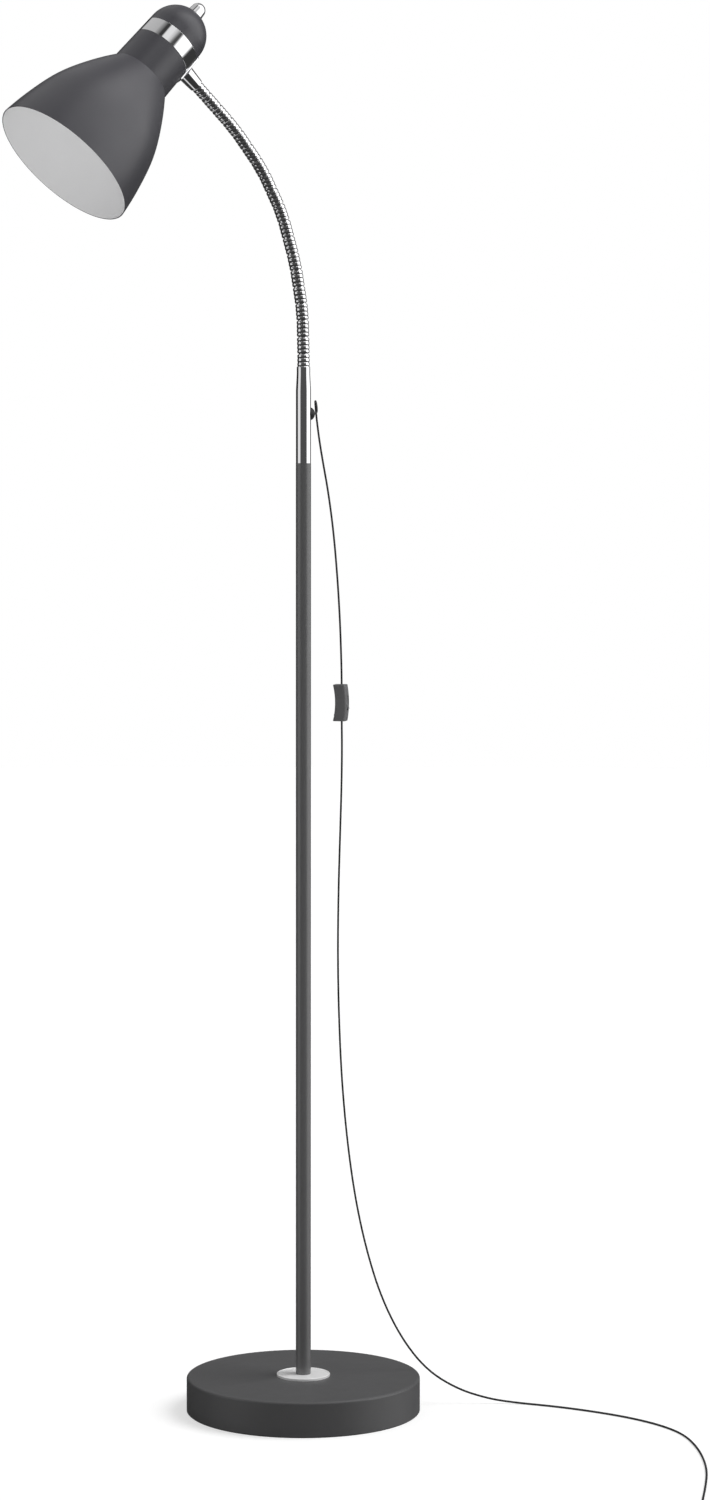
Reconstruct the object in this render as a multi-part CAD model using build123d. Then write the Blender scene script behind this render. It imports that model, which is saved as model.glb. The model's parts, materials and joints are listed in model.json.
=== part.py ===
"""Gooseneck reading floor lamp, in millimetres.

The origin is the centre of the foot that the lamp stands on, +Z is up, and the neck bends towards -X.
Each sub-part is written to parts/NAME.step at its place in the whole lamp.
"""

from build123d import *
import os
from math import cos, degrees, pi, radians, sin, sqrt, tan

# ---------------------------------------------------------------- driving dimensions

# base
BASE_R = 125.0  # round base
BASE_TOP = 37.6  # height of its top face above the floor
COVER_WALL = 1.2  # pressed steel cover over the weight
COVER_EDGE_R = 2.5  # rounded top edge
SKIRT_LIFT = 1.0  # lower edge of the cover above the floor
PAD_T = 2.0  # soft foot under the weight
FLANGE_R = 28.5  # disc where the pole meets the base
FLANGE_T = 2.0
FLANGE_RIM = 1.6  # width of the disc's raised rim
FLANGE_STEP = 0.5  # height of the rim over the disc
NUT_POCKET_R = 18.0  # pocket in the underside of the weight
NUT_POCKET_H = 14.0
WASHER_R = 14.0
WASHER_T = 2.0
BASE_NUT_FLATS = 17.0
BASE_NUT_T = 8.0
STUD_OVER_NUT = 1.0  # end of a stud beyond its nut

# pole
POLE_R = 8.05
POLE_WALL = 1.0
POLE_SEAM = 416.5  # height of the joint between the two pole sections
POLE_TOP = 1012.9
STUD_R = 5.0  # threaded studs and couplings, all of one size
STUD_BORE_R = 3.2
STUD_GRIP = 20.0  # length of a stud in each piece that it joins
BOSS_OVER_STUD = 2.0  # threaded end of a tube, beyond its stud

# chrome tube over the pole
TUBE_R = 7.9
TUBE_WALL = 1.0
TUBE_TOP = 1114.3
TUBE_TIP_R = 7.05  # outside of its drawn-in upper end
TUBE_TIP_BORE_R = 6.25
TUBE_TIP_L = 8.0  # straight length of the drawn-in end
TUBE_TAPER_L = 17.0  # length of the taper below it
TUBE_EDGE = 0.7  # rounded upper edge
TUBE_STEP = 2.0  # height of the step in the bore, under the taper

# grommet in the back of the chrome tube
GROMMET_Z = 1064.8
GROMMET_R = 7.1
GROMMET_NECK_R = 4.4
GROMMET_PROUD = 4.5  # tip of the dome over the tube
GROMMET_TIP_WALL = 1.1  # rubber round the cord at the tip
GROMMET_BED = 1.2  # edge of the dome, behind the front of the tube
GROMMET_SIDE = (0.78, 0.62)  # fullness of the dome, as shares of its radius and height

# gooseneck: links with ridges, each a ball in the cup of the one before
RIDGE_R = 6.5
GROOVE_R = 6.0
RIDGE_PITCH = 4.4
RIDGES_PER_LINK = 4
BALL_R = 5.2
BALL_CLEARANCE = 0.3
BALL_CUT = 3.0  # flat underside of a ball, below its centre
CUP_DEPTH = 4.2  # floor of a cup, below the centre of its ball
LIP_H = 0.5  # lip of a cup, above the centre of its ball
JOINT_GAP = 1.4  # open groove between a lip and the next link
FIRST_RIDGE_CUT = 0.7  # first ridge of a link, shorter than the others
NECK_BORE_R = 2.0
NECK_ROOT_L = 12.0  # tube's top to the first pivot
NECK_END_L = 15.8  # last pivot to the ferrule
NECK_SPIGOT_L = 16.0  # plain end of the neck inside the tube
BEND_TILTS = (1.5, 4.0, 4.5, 4.0, 3.5, 5.0, 6.0, 6.0, 5.0, 4.5, 3.0, 0.5)  # degrees, at the bending pivots

# ferrule, swivel and plate between neck and head
FERRULE_L = 18.3
FERRULE_NECK_R = 7.35
FERRULE_HEAD_R = 8.75
FERRULE_MOUTH_L = 4.2  # wide mouth that takes the neck's last ridge
FERRULE_SOCKET_L = 4.2  # narrower socket beyond the mouth
FERRULE_EDGE = 0.6
SWIVEL_GAP = 0.1  # ferrule to plate
PLATE_T = 1.5
PLATE_W = 12.0
PLATE_TO_CAP = 22.5  # plate's end on the cap side, from the swivel's axis
PLATE_TO_RIM = 15.5  # plate's end on the opening side
PLATE_EDGE = 0.4
STUD_INNER_L = 10.1  # swivel stud's end, inside the plate's outer face
SWIVEL_NUT_T = 4.0
SWIVEL_NUT_FLATS = 14.0

# head, measured along its axis from the plane of the opening
OPENING_R = 78.4
BELL_POINTS = ((33.0, 73.3), (66.0, 64.8), (98.0, 50.1))  # distance from the opening, radius
CREASE_S = 126.0
CREASE_R = 33.1
HEAD_TAPER = 1.5  # degrees, from the crease towards the cap
SWIVEL_S = 168.5
BAND_FROM_S = 162.5
BAND_TO_S = 180.5
DOME_S = 187.8  # centre of the cap's dome
BAND_EDGE = 0.35
SHELL_WALL = 0.9
SPIGOT_R = 30.2  # end of the shade inside band and cap
SPIGOT_TO_S = 186.5  # before the dome begins
CAP_FLAT_R = 9.0
CAP_STEP = 0.1  # thickening of the cap's wall under its flat
KNOB_FOOT_R = 8.6
KNOB_R = 7.8
KNOB_H = 15.2
KNOB_THREAD_L = 9.0

# lampholder and bulb
HOLDER_R = 19.0
HOLDER_TOP_R = 15.6  # upper half, where the lead goes in
HOLDER_FROM_S = 146.0
HOLDER_TO_S = 204.0
SOCKET_SHELL_R = 14.4
SOCKET_SHELL_WALL = 0.6
SOCKET_SHELL_INSET = 3.0  # shell's lower edge, inside the holder's mouth
HOLDER_FLOOR_T = 3.0
HOLDER_SLOPE_L = 3.5  # between the holder's two widths
HOLDER_BEVEL = 4.0
HOLDER_CHAMBER_R = 13.0  # wiring space over the floor
STEM_GRIP = 9.0  # length of the stem inside the holder
CONTACT_SPACE = 4.0  # bulb's tip to the holder's floor
CONTACT_T = 0.8
CONTACT_L = 18.0
CONTACT_W = 6.0
CONTACT_BUTTON_R = 2.6
LEAD_SIDE_S = 192.0  # where the lead enters the lampholder
LEAD_GAP = 0.5  # lead beside the lampholder
BULB_CAP_R = 13.1
BULB_CAP_L = 27.0
BULB_R = 30.0
BULB_TIP_S = 62.0
BULB_BODY_TO_S = 108.0  # where the bulb's body gives way to its globe
BULB_WALL = 1.0
BULB_NECK_OVER_CAP = 0.9  # body's lower end, wider than the screw cap
BULB_SHOULDER = (0.82, 16.0)  # share of the globe's radius, and how far below its end
BULB_TIP_R = 4.8
BULB_TIP_L = 1.0
BULB_TIP_CONE_L = 4.0
BULB_OUT = 1.0  # screw cap's lower end, outside the holder's mouth

# cord
CORD_R = 1.1
CORD_FIT = 0.05  # clearance round the cord in a bore
COIL_MID_R = 12.2
COIL_STEP = 3.15  # from turn to turn, and from layer to layer
COIL_HALF_TURNS_IN = 6  # half turns of the lower layer
COIL_HALF_TURNS_OUT = 5  # half turns of the upper layer
# length, heading away from the coil's last direction in degrees, share of the rise
TAIL_RUNS = ((10.0, 0.0, 0.0), (12.0, 10.0, 0.6), (13.0, 22.0, 1.5), (13.0, 31.0, 1.2), (11.0, 36.0, 0.05))

# switch on the cord
SWITCH_TOP_Z = 778.0  # where the cord enters its upper end
SWITCH_L = 39.0
SWITCH_W = 16.0
SWITCH_BACK_END = 8.4  # cord's axis to the hollow back, at the switch's ends
SWITCH_BACK_MID = 6.0  # and halfway along
SWITCH_FRONT_END = 4.95
SWITCH_FRONT_MID = 6.7
SWITCH_FACES = -45.0  # degrees about Z, direction of the rocker from the cord
SWITCH_ROUND = 2.6
SWITCH_END_ROUND = 0.7
SWITCH_CAVITY = (4.4, 3.2, 4.0, 15.5)  # back, front, half width, half length
SCREW_PLACES = ((6.0, 13.0), (-6.0, -13.0))  # across, along the switch
SCREW_R = 1.0
SCREW_HEAD_R = 1.8
SCREW_HEAD = (-6.7, -5.5)  # the head, along the screw
SCREW_TIP = 3.0
CONTACT_STRIP = (0.6, 2.4, 12.0)  # thickness, width, length
CONTACT_STRIP_PLACES = ((-2.2, -8.0), (-2.2, 8.0), (2.2, 0.0))  # across, along
CONTACT_POST_H = 1.8
ROCKER_L = 13.4
ROCKER_W = 6.8
ROCKER_PROUD = 6.9  # ends of the rocker's face, from the cord's axis, when level
ROCKER_DISH = 0.6  # middle of the face below its ends
ROCKER_PIVOT = 4.6  # rocker's pin, from the cord's axis
ROCKER_PIN_R = 1.0
ROCKER_PIN_L = 1.4  # a pin beyond the rocker's side
ROCKER_WEB = 1.9  # depth and half length of the web round the pins
ROCKER_END_T = 1.5  # slope of the rocker's end
ROCKER_TILT = 7.0  # degrees either way from level
ROCKER_CLEARANCE = 0.35

# plug
PLUG_L = 28.0
PLUG_W = 20.0
PLUG_T = 13.0
PLUG_NOSE_W = 12.0
RELIEF_L = 22.0
RELIEF_R = 3.0
BLADE_L = 17.0
BLADE_W = 6.3
BLADE_T = 1.5
BLADE_SPACING = 12.7
BLADE_CHAMFER = 1.2
PLUG_SHOULDER_L = 10.0
PLUG_ROUND = 2.2
RELIEF_TIP_WALL = 0.7
RELIEF_IN_PLUG = 3.0
RELIEF_GROOVES = 4
RELIEF_GROOVE_PITCH = 4.0
RELIEF_GROOVE_W = 1.4
PLUG_BORE_L = 8.0

FIT = 0.05  # between pieces screwed or pushed together

# ---------------------------------------------------------------- the cord's route

CORD_UPPER_ROUTE = [
    (TUBE_R + GROMMET_PROUD, 0.0, GROMMET_Z),
    (16.4, 0.0, GROMMET_Z),
    (17.6, 1.6, 1071.0),
    (18.4, 5.2, 1078.0),
    (21.0, 10.8, 1078.5),
    (23.4, 13.2, 1068.0),
    (25.2, 13.0, 1053.0),
    (27.4, 12.0, 1035.0),
    (30.8, 10.2, 1012.0),
    (35.2, 7.6, 984.0),
    (39.9, 4.6, 943.0),
    (43.4, 2.3, 896.0),
    (45.9, 0.7, 848.0),
    (47.2, -0.1, 804.0),
    (47.6, -0.3, SWITCH_TOP_Z),
]
CORD_LOWER_ROUTE = [
    (47.6, -0.3, SWITCH_TOP_Z - SWITCH_L),
    (47.9, -0.5, 712.0),
    (47.5, -0.4, 672.0),
    (46.0, -0.1, 622.0),
    (44.6, 0.4, 572.0),
    (43.8, 0.8, 522.0),
    (43.8, 0.8, 470.0),
    (44.9, 0.2, 418.0),
    (46.8, -1.0, 366.0),
    (50.0, -3.0, 316.0),
    (54.6, -6.0, 266.0),
    (61.0, -10.0, 217.0),
    (70.4, -15.4, 168.0),
    (83.4, -22.8, 119.0),
    (102.0, -33.6, 74.0),
    (126.0, -46.8, 38.0),
    (155.0, -63.0, 16.5),
    (184.0, -81.0, 5.5),
    (209.0, -97.0, CORD_R),
    (234.0, -131.0, CORD_R),
    (256.0, -171.0, CORD_R),
    (273.5, -214.0, CORD_R),
    (282.5, -259.0, CORD_R),
    (280.0, -303.0, CORD_R),
    (262.5, -348.0, CORD_R),
    (238.0, -394.0, CORD_R),
    (208.0, -440.0, CORD_R),
    (172.0, -485.0, CORD_R),
    (139.0, -524.0, CORD_R),
    (109.0, -560.0, CORD_R),
]

# ---------------------------------------------------------------- derived frames and sizes

LINK_L = RIDGE_PITCH * RIDGES_PER_LINK
PIVOTS = len(BEND_TILTS) * 3 // 2
CORD_D = 2 * CORD_R


def in_plane(angle):
    """Unit vector in the lamp's middle plane, turned from straight up towards the head."""
    return Vector(-sin(radians(angle)), 0, cos(radians(angle)))


def frame_at(point, angle):
    """Local frame in the middle plane: z along the neck, x square to it, y as the lamp's."""
    return Plane(origin=point, x_dir=in_plane(angle - 90), z_dir=in_plane(angle))


def turns_sideways(number):
    """Every third pivot, from the second, bends the neck sideways; the others bend it down and up."""
    return number % 3 == 2


def neck_frames():
    """One frame for each pivot of the neck, with z along the link that turns there."""
    frames = []
    angle = 0.0
    point = Vector(0, 0, TUBE_TOP + NECK_ROOT_L)
    tilts = iter(BEND_TILTS)
    for number in range(1, PIVOTS + 1):
        if not turns_sideways(number):
            angle += next(tilts)
        frames.append(frame_at(point, angle))
        point += in_plane(angle) * LINK_L
    return frames


NECK_FRAMES = neck_frames()
NECK_ANGLE = sum(BEND_TILTS)
TIP_FRAME = NECK_FRAMES[-1]
NECK_AXIS = TIP_FRAME.z_dir
SWIVEL_POINT = TIP_FRAME.origin + NECK_AXIS * (NECK_END_L + FERRULE_L + SWIVEL_GAP)
SWIVEL_FRAME = frame_at(SWIVEL_POINT, NECK_ANGLE)


def outer_r(s):
    """Outside radius of the head between its crease and the cap's dome."""
    return CREASE_R - (s - CREASE_S) * tan(radians(HEAD_TAPER))


HEAD_ANGLE = NECK_ANGLE - HEAD_TAPER  # square to the head's axis, away from the neck
HEAD_BACK = in_plane(HEAD_ANGLE - 90)  # along the head's axis, towards the cap
OPENING_CENTRE = (
    SWIVEL_POINT + NECK_AXIS * PLATE_T + in_plane(HEAD_ANGLE) * outer_r(SWIVEL_S) - HEAD_BACK * SWIVEL_S
)
HEAD_FRAME = Plane(origin=OPENING_CENTRE, x_dir=in_plane(HEAD_ANGLE - 180), z_dir=HEAD_BACK)

SWITCH_CENTRE = (Vector(*CORD_UPPER_ROUTE[-1]) + Vector(*CORD_LOWER_ROUTE[0])) / 2
SWITCH_FRAME = Plane(
    origin=SWITCH_CENTRE,
    x_dir=(cos(radians(SWITCH_FACES)), sin(radians(SWITCH_FACES)), 0),
    z_dir=(0, 0, 1),
)

# ---------------------------------------------------------------- helpers


def outline(start, *steps):
    """Closed face in the XZ plane: a step is a point for a line, or two points for an arc."""
    edges = []
    here = start
    for step in steps + (start,):
        if isinstance(step[0], tuple):
            middle, end = step
            edges.append(ThreePointArc((here[0], 0, here[1]), (middle[0], 0, middle[1]), (end[0], 0, end[1])))
        else:
            end = step
            if end != here:
                edges.append(Line((here[0], 0, here[1]), (end[0], 0, end[1])))
        here = end
    return make_face(edges)


def turned(start, *steps):
    """Solid of revolution about Z from an outline of (radius, z) points."""
    return revolve(outline(start, *steps), Axis.Z)


def ring(outer, inner, z_low, z_high):
    """Plain tube, or a disc with a hole."""
    return turned((inner, z_low), (outer, z_low), (outer, z_high), (inner, z_high))


def rod(radius, z_low, z_high):
    """Round bar along Z."""
    return Pos(0, 0, z_low) * Cylinder(radius, z_high - z_low, align=(Align.CENTER, Align.CENTER, Align.MIN))


def block(x, y, z):
    """Box from its three (low, high) pairs."""
    size = (x[1] - x[0], y[1] - y[0], z[1] - z[0])
    return Pos(x[0], y[0], z[0]) * Box(*size, align=(Align.MIN, Align.MIN, Align.MIN))


def hexagon(across_flats, bore, z_low, z_high):
    """Hexagonal nut with a plain bore."""
    face = RegularPolygon(across_flats / 2, 6, major_radius=False)
    return Pos(0, 0, z_low) * extrude(face, z_high - z_low) - rod(bore, z_low, z_high)


def placed(frame, shape):
    """A shape modelled in a local frame, moved to its place."""
    return frame.location * shape


def write(name, shape):
    """One STEP file for one sub-part."""
    solids = shape.solids()
    shape = solids[0] if len(solids) == 1 else Compound(children=list(solids))
    export_step(shape, f"parts/{name}.step")


def tube_along(points, name):
    """Round tube on straight runs joined by tangent arcs, each arc as large as its runs allow."""
    points = [Vector(*p) for p in points]
    radii = []
    for before, corner, after in zip(points, points[1:], points[2:]):
        turn = (corner - before).get_angle(after - corner)
        shorter = min((corner - before).length, (after - corner).length)
        radii.append(0.45 * shorter / tan(radians(turn) / 2))
    path = FilletPolyline(*points, radius=radii)
    start = Plane(origin=points[0], z_dir=points[1] - points[0])
    tube = sweep(start * Circle(CORD_R), path=path)
    length = path.length
    print(f"{name}: least radii {[round(r, 1) for r in sorted(radii)[:4]]}, length {length:.1f},",
          f"volume / (section x length) {tube.volume / (pi * CORD_R**2 * length):.4f}")
    return tube


# ---------------------------------------------------------------- base


def base_cover():
    lip_in = BASE_R - COVER_WALL
    shell = turned(
        (STUD_R + FIT, BASE_TOP - COVER_WALL),
        (lip_in, BASE_TOP - COVER_WALL),
        (lip_in, SKIRT_LIFT),
        (BASE_R, SKIRT_LIFT),
        (BASE_R, BASE_TOP),
        (STUD_R + FIT, BASE_TOP),
    )
    edge = shell.edges().filter_by(GeomType.CIRCLE).group_by(Axis.Z)[-1].sort_by(SortBy.RADIUS)[-1]
    return fillet(edge, COVER_EDGE_R)


def base_weight():
    """Cast disc that fills the cover, with a pocket below for the nut."""
    radius = BASE_R - COVER_WALL - FIT
    top = BASE_TOP - COVER_WALL
    body = rod(radius, PAD_T, top)
    body -= rod(NUT_POCKET_R, PAD_T, PAD_T + NUT_POCKET_H)
    return body - rod(STUD_R + FIT, PAD_T + NUT_POCKET_H, top)


def base_pad():
    return rod(BASE_R - COVER_WALL - FIT, 0, PAD_T)


def pole_flange():
    """Disc with a narrow raised rim round it."""
    low = BASE_TOP
    face = low + FLANGE_T
    return turned(
        (STUD_R + FIT, low),
        (FLANGE_R, low),
        (FLANGE_R, face),
        ((FLANGE_R - FLANGE_RIM / 2, face + FLANGE_STEP), (FLANGE_R - FLANGE_RIM, face)),
        (STUD_R + FIT, face),
    )


WASHER_TOP = PAD_T + NUT_POCKET_H
POLE_FOOT = BASE_TOP + FLANGE_T


def base_stud():
    low = WASHER_TOP - WASHER_T - BASE_NUT_T - STUD_OVER_NUT
    return ring(STUD_R, STUD_BORE_R, low, POLE_FOOT + STUD_GRIP)


def base_washer():
    return ring(WASHER_R, STUD_R + FIT, WASHER_TOP - WASHER_T, WASHER_TOP)


def base_nut():
    top = WASHER_TOP - WASHER_T
    return hexagon(BASE_NUT_FLATS, STUD_R + FIT, top - BASE_NUT_T, top)


# ---------------------------------------------------------------- pole and chrome tube


def pole_section(low, high):
    """Painted tube with a threaded boss in each end."""
    bore = POLE_R - POLE_WALL
    boss = STUD_GRIP + BOSS_OVER_STUD
    return turned(
        (STUD_R + FIT, low),
        (POLE_R, low),
        (POLE_R, high),
        (STUD_R + FIT, high),
        (STUD_R + FIT, high - boss),
        (bore, high - boss),
        (bore, low + boss),
        (STUD_R + FIT, low + boss),
    )


def coupler(seam):
    """Hollow stud across a joint between two tubes."""
    return ring(STUD_R, STUD_BORE_R, seam - STUD_GRIP, seam + STUD_GRIP)


def neck_tube():
    """Chrome tube, drawn in at its top to hold the neck, with a hole behind for the cord."""
    boss = POLE_TOP + STUD_GRIP + BOSS_OVER_STUD
    tip = TUBE_TOP - TUBE_TIP_L
    taper = tip - TUBE_TAPER_L
    tube = turned(
        (STUD_R + FIT, POLE_TOP),
        (TUBE_R, POLE_TOP),
        (TUBE_R, taper),
        (TUBE_TIP_R, tip),
        (TUBE_TIP_R, TUBE_TOP - TUBE_EDGE),
        (TUBE_TIP_R - TUBE_EDGE / 2, TUBE_TOP),
        (TUBE_TIP_BORE_R, TUBE_TOP),
        (TUBE_TIP_BORE_R, taper),
        (TUBE_R - TUBE_WALL, taper - TUBE_STEP),
        (TUBE_R - TUBE_WALL, boss),
        (STUD_R + FIT, boss),
    )
    return tube - cord_hole(GROMMET_NECK_R + FIT, 0, 2 * TUBE_R)


def cord_hole(radius, x_low, x_high):
    """Round bar along X at the height of the grommet."""
    return Pos(x_low, 0, GROMMET_Z) * Rot(0, 90, 0) * rod(radius, 0, x_high - x_low)


def cord_grommet():
    """Rubber dome, bedded on the tube's curve, with a neck through the tube's wall."""
    tip = TUBE_R + GROMMET_PROUD
    side = (GROMMET_R * GROMMET_SIDE[0], TUBE_R + GROMMET_PROUD * GROMMET_SIDE[1])
    dome = turned(
        (0, 0),
        (GROMMET_R, 0),
        (GROMMET_R, TUBE_R - GROMMET_BED),
        (side, (CORD_R + GROMMET_TIP_WALL, tip)),
        (0, tip),
    )
    dome = Pos(0, 0, GROMMET_Z) * Rot(0, 90, 0) * dome
    dome -= rod(TUBE_R + FIT, GROMMET_Z - TUBE_R * 2, GROMMET_Z + TUBE_R * 2)
    neck = cord_hole(GROMMET_NECK_R, TUBE_R - 2 * TUBE_WALL, TUBE_R + GROMMET_PROUD / 2)
    return dome + neck - cord_hole(CORD_R + CORD_FIT, 0, 2 * tip)


# ---------------------------------------------------------------- gooseneck


def ridge_steps(z_low, z_high, first_cut, last_over):
    """Arcs of the ridges between two heights; the first is cut short, the last goes over."""
    starts = [z_low]
    edge = z_low + RIDGE_PITCH - first_cut
    while edge < z_high - RIDGE_PITCH / 2:
        starts.append(edge)
        edge += RIDGE_PITCH
    starts.append(z_high + last_over)
    return [((RIDGE_R, (a + b) / 2), (GROOVE_R, b)) for a, b in zip(starts, starts[1:])]


def sphere_r(radius, z):
    return sqrt(radius**2 - z**2)


LINK_FROM = LIP_H + JOINT_GAP  # where a link's ridges start, above its pivot
CUP_R = BALL_R + BALL_CLEARANCE


def ball_steps():
    """Outline of a ball from its flat underside up to the link."""
    waist = (BALL_R, 0)
    return [(sphere_r(BALL_R, BALL_CUT), -BALL_CUT), (waist, (sphere_r(BALL_R, LINK_FROM), LINK_FROM))]


def cup_steps(pivot):
    """Outline of a cup from its lip down to its floor."""
    lip = (sphere_r(CUP_R, LIP_H), pivot + LIP_H)
    middle = (sphere_r(CUP_R, CUP_DEPTH / 2), pivot - CUP_DEPTH / 2)
    floor = (sphere_r(CUP_R, CUP_DEPTH), pivot - CUP_DEPTH)
    return [lip, (middle, floor), (NECK_BORE_R, pivot - CUP_DEPTH)]


def neck_root():
    """Fixed end of the neck: a plain spigot in the tube, ridges, and the first cup."""
    pivot = TUBE_TOP + NECK_ROOT_L
    return turned(
        (NECK_BORE_R, TUBE_TOP - NECK_SPIGOT_L),
        (TUBE_TIP_BORE_R - FIT, TUBE_TOP - NECK_SPIGOT_L),
        (TUBE_TIP_BORE_R - FIT, TUBE_TOP),
        (GROOVE_R, TUBE_TOP),
        *ridge_steps(TUBE_TOP, pivot, 0, LIP_H),
        *cup_steps(pivot),
    )


def neck_link():
    """One link: a ball below, four ridges, and the cup for the next ball."""
    return turned(
        (NECK_BORE_R, -BALL_CUT),
        *ball_steps(),
        (GROOVE_R, LINK_FROM),
        *ridge_steps(LINK_FROM, LINK_L, FIRST_RIDGE_CUT, LIP_H),
        *cup_steps(LINK_L),
    )


FERRULE_FROM = NECK_END_L
FERRULE_SHOULDER = FERRULE_FROM + FERRULE_MOUTH_L
FERRULE_FLOOR = FERRULE_SHOULDER + FERRULE_SOCKET_L
FERRULE_TO = FERRULE_FROM + FERRULE_L


def neck_end():
    """Last link: a ball, ridges up into the ferrule's mouth, and a plain spigot."""
    last = LINK_FROM + LINK_L - FIRST_RIDGE_CUT
    return turned(
        (NECK_BORE_R, -BALL_CUT),
        *ball_steps(),
        (GROOVE_R, LINK_FROM),
        *ridge_steps(LINK_FROM, last, FIRST_RIDGE_CUT, 0),
        (GROOVE_R, FERRULE_FLOOR),
        (NECK_BORE_R, FERRULE_FLOOR),
    )


def neck_ferrule():
    """Chrome sleeve, wider at the head, over the end of the neck."""
    return turned(
        (RIDGE_R + FIT, FERRULE_FROM),
        (FERRULE_NECK_R - FERRULE_EDGE / 2, FERRULE_FROM),
        (FERRULE_NECK_R, FERRULE_FROM + FERRULE_EDGE / 2),
        (FERRULE_HEAD_R, FERRULE_TO - FERRULE_EDGE),
        (FERRULE_HEAD_R - FERRULE_EDGE, FERRULE_TO),
        (STUD_R + FIT, FERRULE_TO),
        (STUD_R + FIT, FERRULE_FLOOR),
        (GROOVE_R + FIT, FERRULE_FLOOR),
        (GROOVE_R + FIT, FERRULE_SHOULDER),
        (RIDGE_R + FIT, FERRULE_SHOULDER),
    )


# ---------------------------------------------------------------- swivel


def swivel_hole():
    """Bar that cuts the swivel's hole through plate, band and shade."""
    return placed(SWIVEL_FRAME, rod(STUD_R + 2 * FIT, -1, STUD_INNER_L))


def swivel_stud():
    return placed(SWIVEL_FRAME, ring(STUD_R, STUD_BORE_R, FERRULE_FLOOR - FERRULE_TO, STUD_INNER_L))


def swivel_nut():
    top = STUD_INNER_L - STUD_OVER_NUT
    return placed(SWIVEL_FRAME, hexagon(SWIVEL_NUT_FLATS, STUD_R + FIT, top - SWIVEL_NUT_T, top))


def saddle_plate():
    """Thin plate with round ends, lying along the head."""
    radius = PLATE_W / 2
    low = -PLATE_TO_RIM + radius
    high = PLATE_TO_CAP - radius
    face = Pos((low + high) / 2, 0) * SlotCenterToCenter(high - low, PLATE_W)
    plate = extrude(face, PLATE_T - FIT / 2)
    plate = fillet(plate.edges().group_by(Axis.Z)[0], PLATE_EDGE)
    return placed(SWIVEL_FRAME, plate) - swivel_hole()


# ---------------------------------------------------------------- head


def bell_curve(inset):
    """Edge of the bell from the opening to the crease, in the XZ plane."""
    points = [(OPENING_R - inset, 0, 0)]
    points += [(r - inset, 0, s) for s, r in BELL_POINTS]
    points.append((CREASE_R - inset, 0, CREASE_S))
    return Spline(*points)


def shade():
    """Spun shade: bell, creased neck and a narrower end inside band and cap."""
    inner_spigot = SPIGOT_R - SHELL_WALL
    bell_wall = SHELL_WALL * 1.1
    corners = [
        (CREASE_R, CREASE_S),
        (outer_r(BAND_FROM_S), BAND_FROM_S),
        (SPIGOT_R, BAND_FROM_S),
        (SPIGOT_R, SPIGOT_TO_S),
        (inner_spigot, SPIGOT_TO_S),
        (inner_spigot, BAND_FROM_S - SHELL_WALL),
        (CREASE_R - bell_wall, CREASE_S),
    ]
    edges = [bell_curve(0), bell_curve(bell_wall)]
    edges += [Line((a[0], 0, a[1]), (b[0], 0, b[1])) for a, b in zip(corners, corners[1:])]
    edges.append(Line((OPENING_R - bell_wall, 0, 0), (OPENING_R, 0, 0)))
    body = placed(HEAD_FRAME, revolve(make_face(edges), Axis.Z))
    return body - swivel_hole()


def shade_band():
    """Chrome band between shade and cap."""
    edge = BAND_EDGE
    low = BAND_FROM_S + FIT
    high = BAND_TO_S - FIT
    band = turned(
        (SPIGOT_R + FIT, low),
        (outer_r(low) - edge, low),
        (outer_r(low), low + edge),
        (outer_r(high), high - edge),
        (outer_r(high) - edge, high),
        (SPIGOT_R + FIT, high),
    )
    return placed(HEAD_FRAME, band) - swivel_hole()


CAP_R = outer_r(DOME_S)
CAP_TOP_S = DOME_S + sphere_r(CAP_R, CAP_FLAT_R)


def shade_cap():
    """Domed cap, flat under the knob."""
    inner_r = SPIGOT_R + FIT
    inner_top = CAP_TOP_S - SHELL_WALL
    dome_mid = CAP_R * sqrt(0.5)
    inner_mid = inner_r * sqrt(0.5)
    flat_s = sphere_r(inner_r, CAP_FLAT_R)
    cap = turned(
        (inner_r, BAND_TO_S),
        (outer_r(BAND_TO_S), BAND_TO_S),
        (CAP_R, DOME_S),
        ((dome_mid, DOME_S + dome_mid), (CAP_FLAT_R, CAP_TOP_S)),
        (STUD_R + FIT, CAP_TOP_S),
        (STUD_R + FIT, inner_top),
        (CAP_FLAT_R, inner_top - CAP_STEP),
        ((inner_mid, DOME_S + inner_mid * (flat_s - CAP_STEP) / flat_s), (inner_r, DOME_S)),
    )
    return placed(HEAD_FRAME, cap)


def cap_knob():
    """Chrome knob with a round top, a little wider at its foot, with a blind thread."""
    top = CAP_TOP_S + KNOB_H
    thread_to = CAP_TOP_S + KNOB_THREAD_L
    knob = turned(
        (STUD_R + FIT, CAP_TOP_S),
        (KNOB_FOOT_R, CAP_TOP_S),
        (KNOB_R, top - KNOB_R),
        ((KNOB_R * sqrt(0.5), top - KNOB_R * (1 - sqrt(0.5))), (0, top)),
        (0, thread_to),
        (STUD_R + FIT, thread_to),
    )
    return placed(HEAD_FRAME, knob)


STEM_TO_S = CAP_TOP_S + KNOB_THREAD_L - STUD_OVER_NUT


def holder_stem():
    return placed(HEAD_FRAME, ring(STUD_R, STUD_BORE_R, HOLDER_TO_S - STEM_GRIP, STEM_TO_S))


SEAT_S = HOLDER_FROM_S + BULB_CAP_L  # where the bulb's tip presses on the contact
HOLDER_FLOOR_S = SEAT_S + CONTACT_SPACE
LEAD_SIDE_X = HOLDER_R + LEAD_GAP + CORD_R  # the lead's distance from the head's axis


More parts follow.
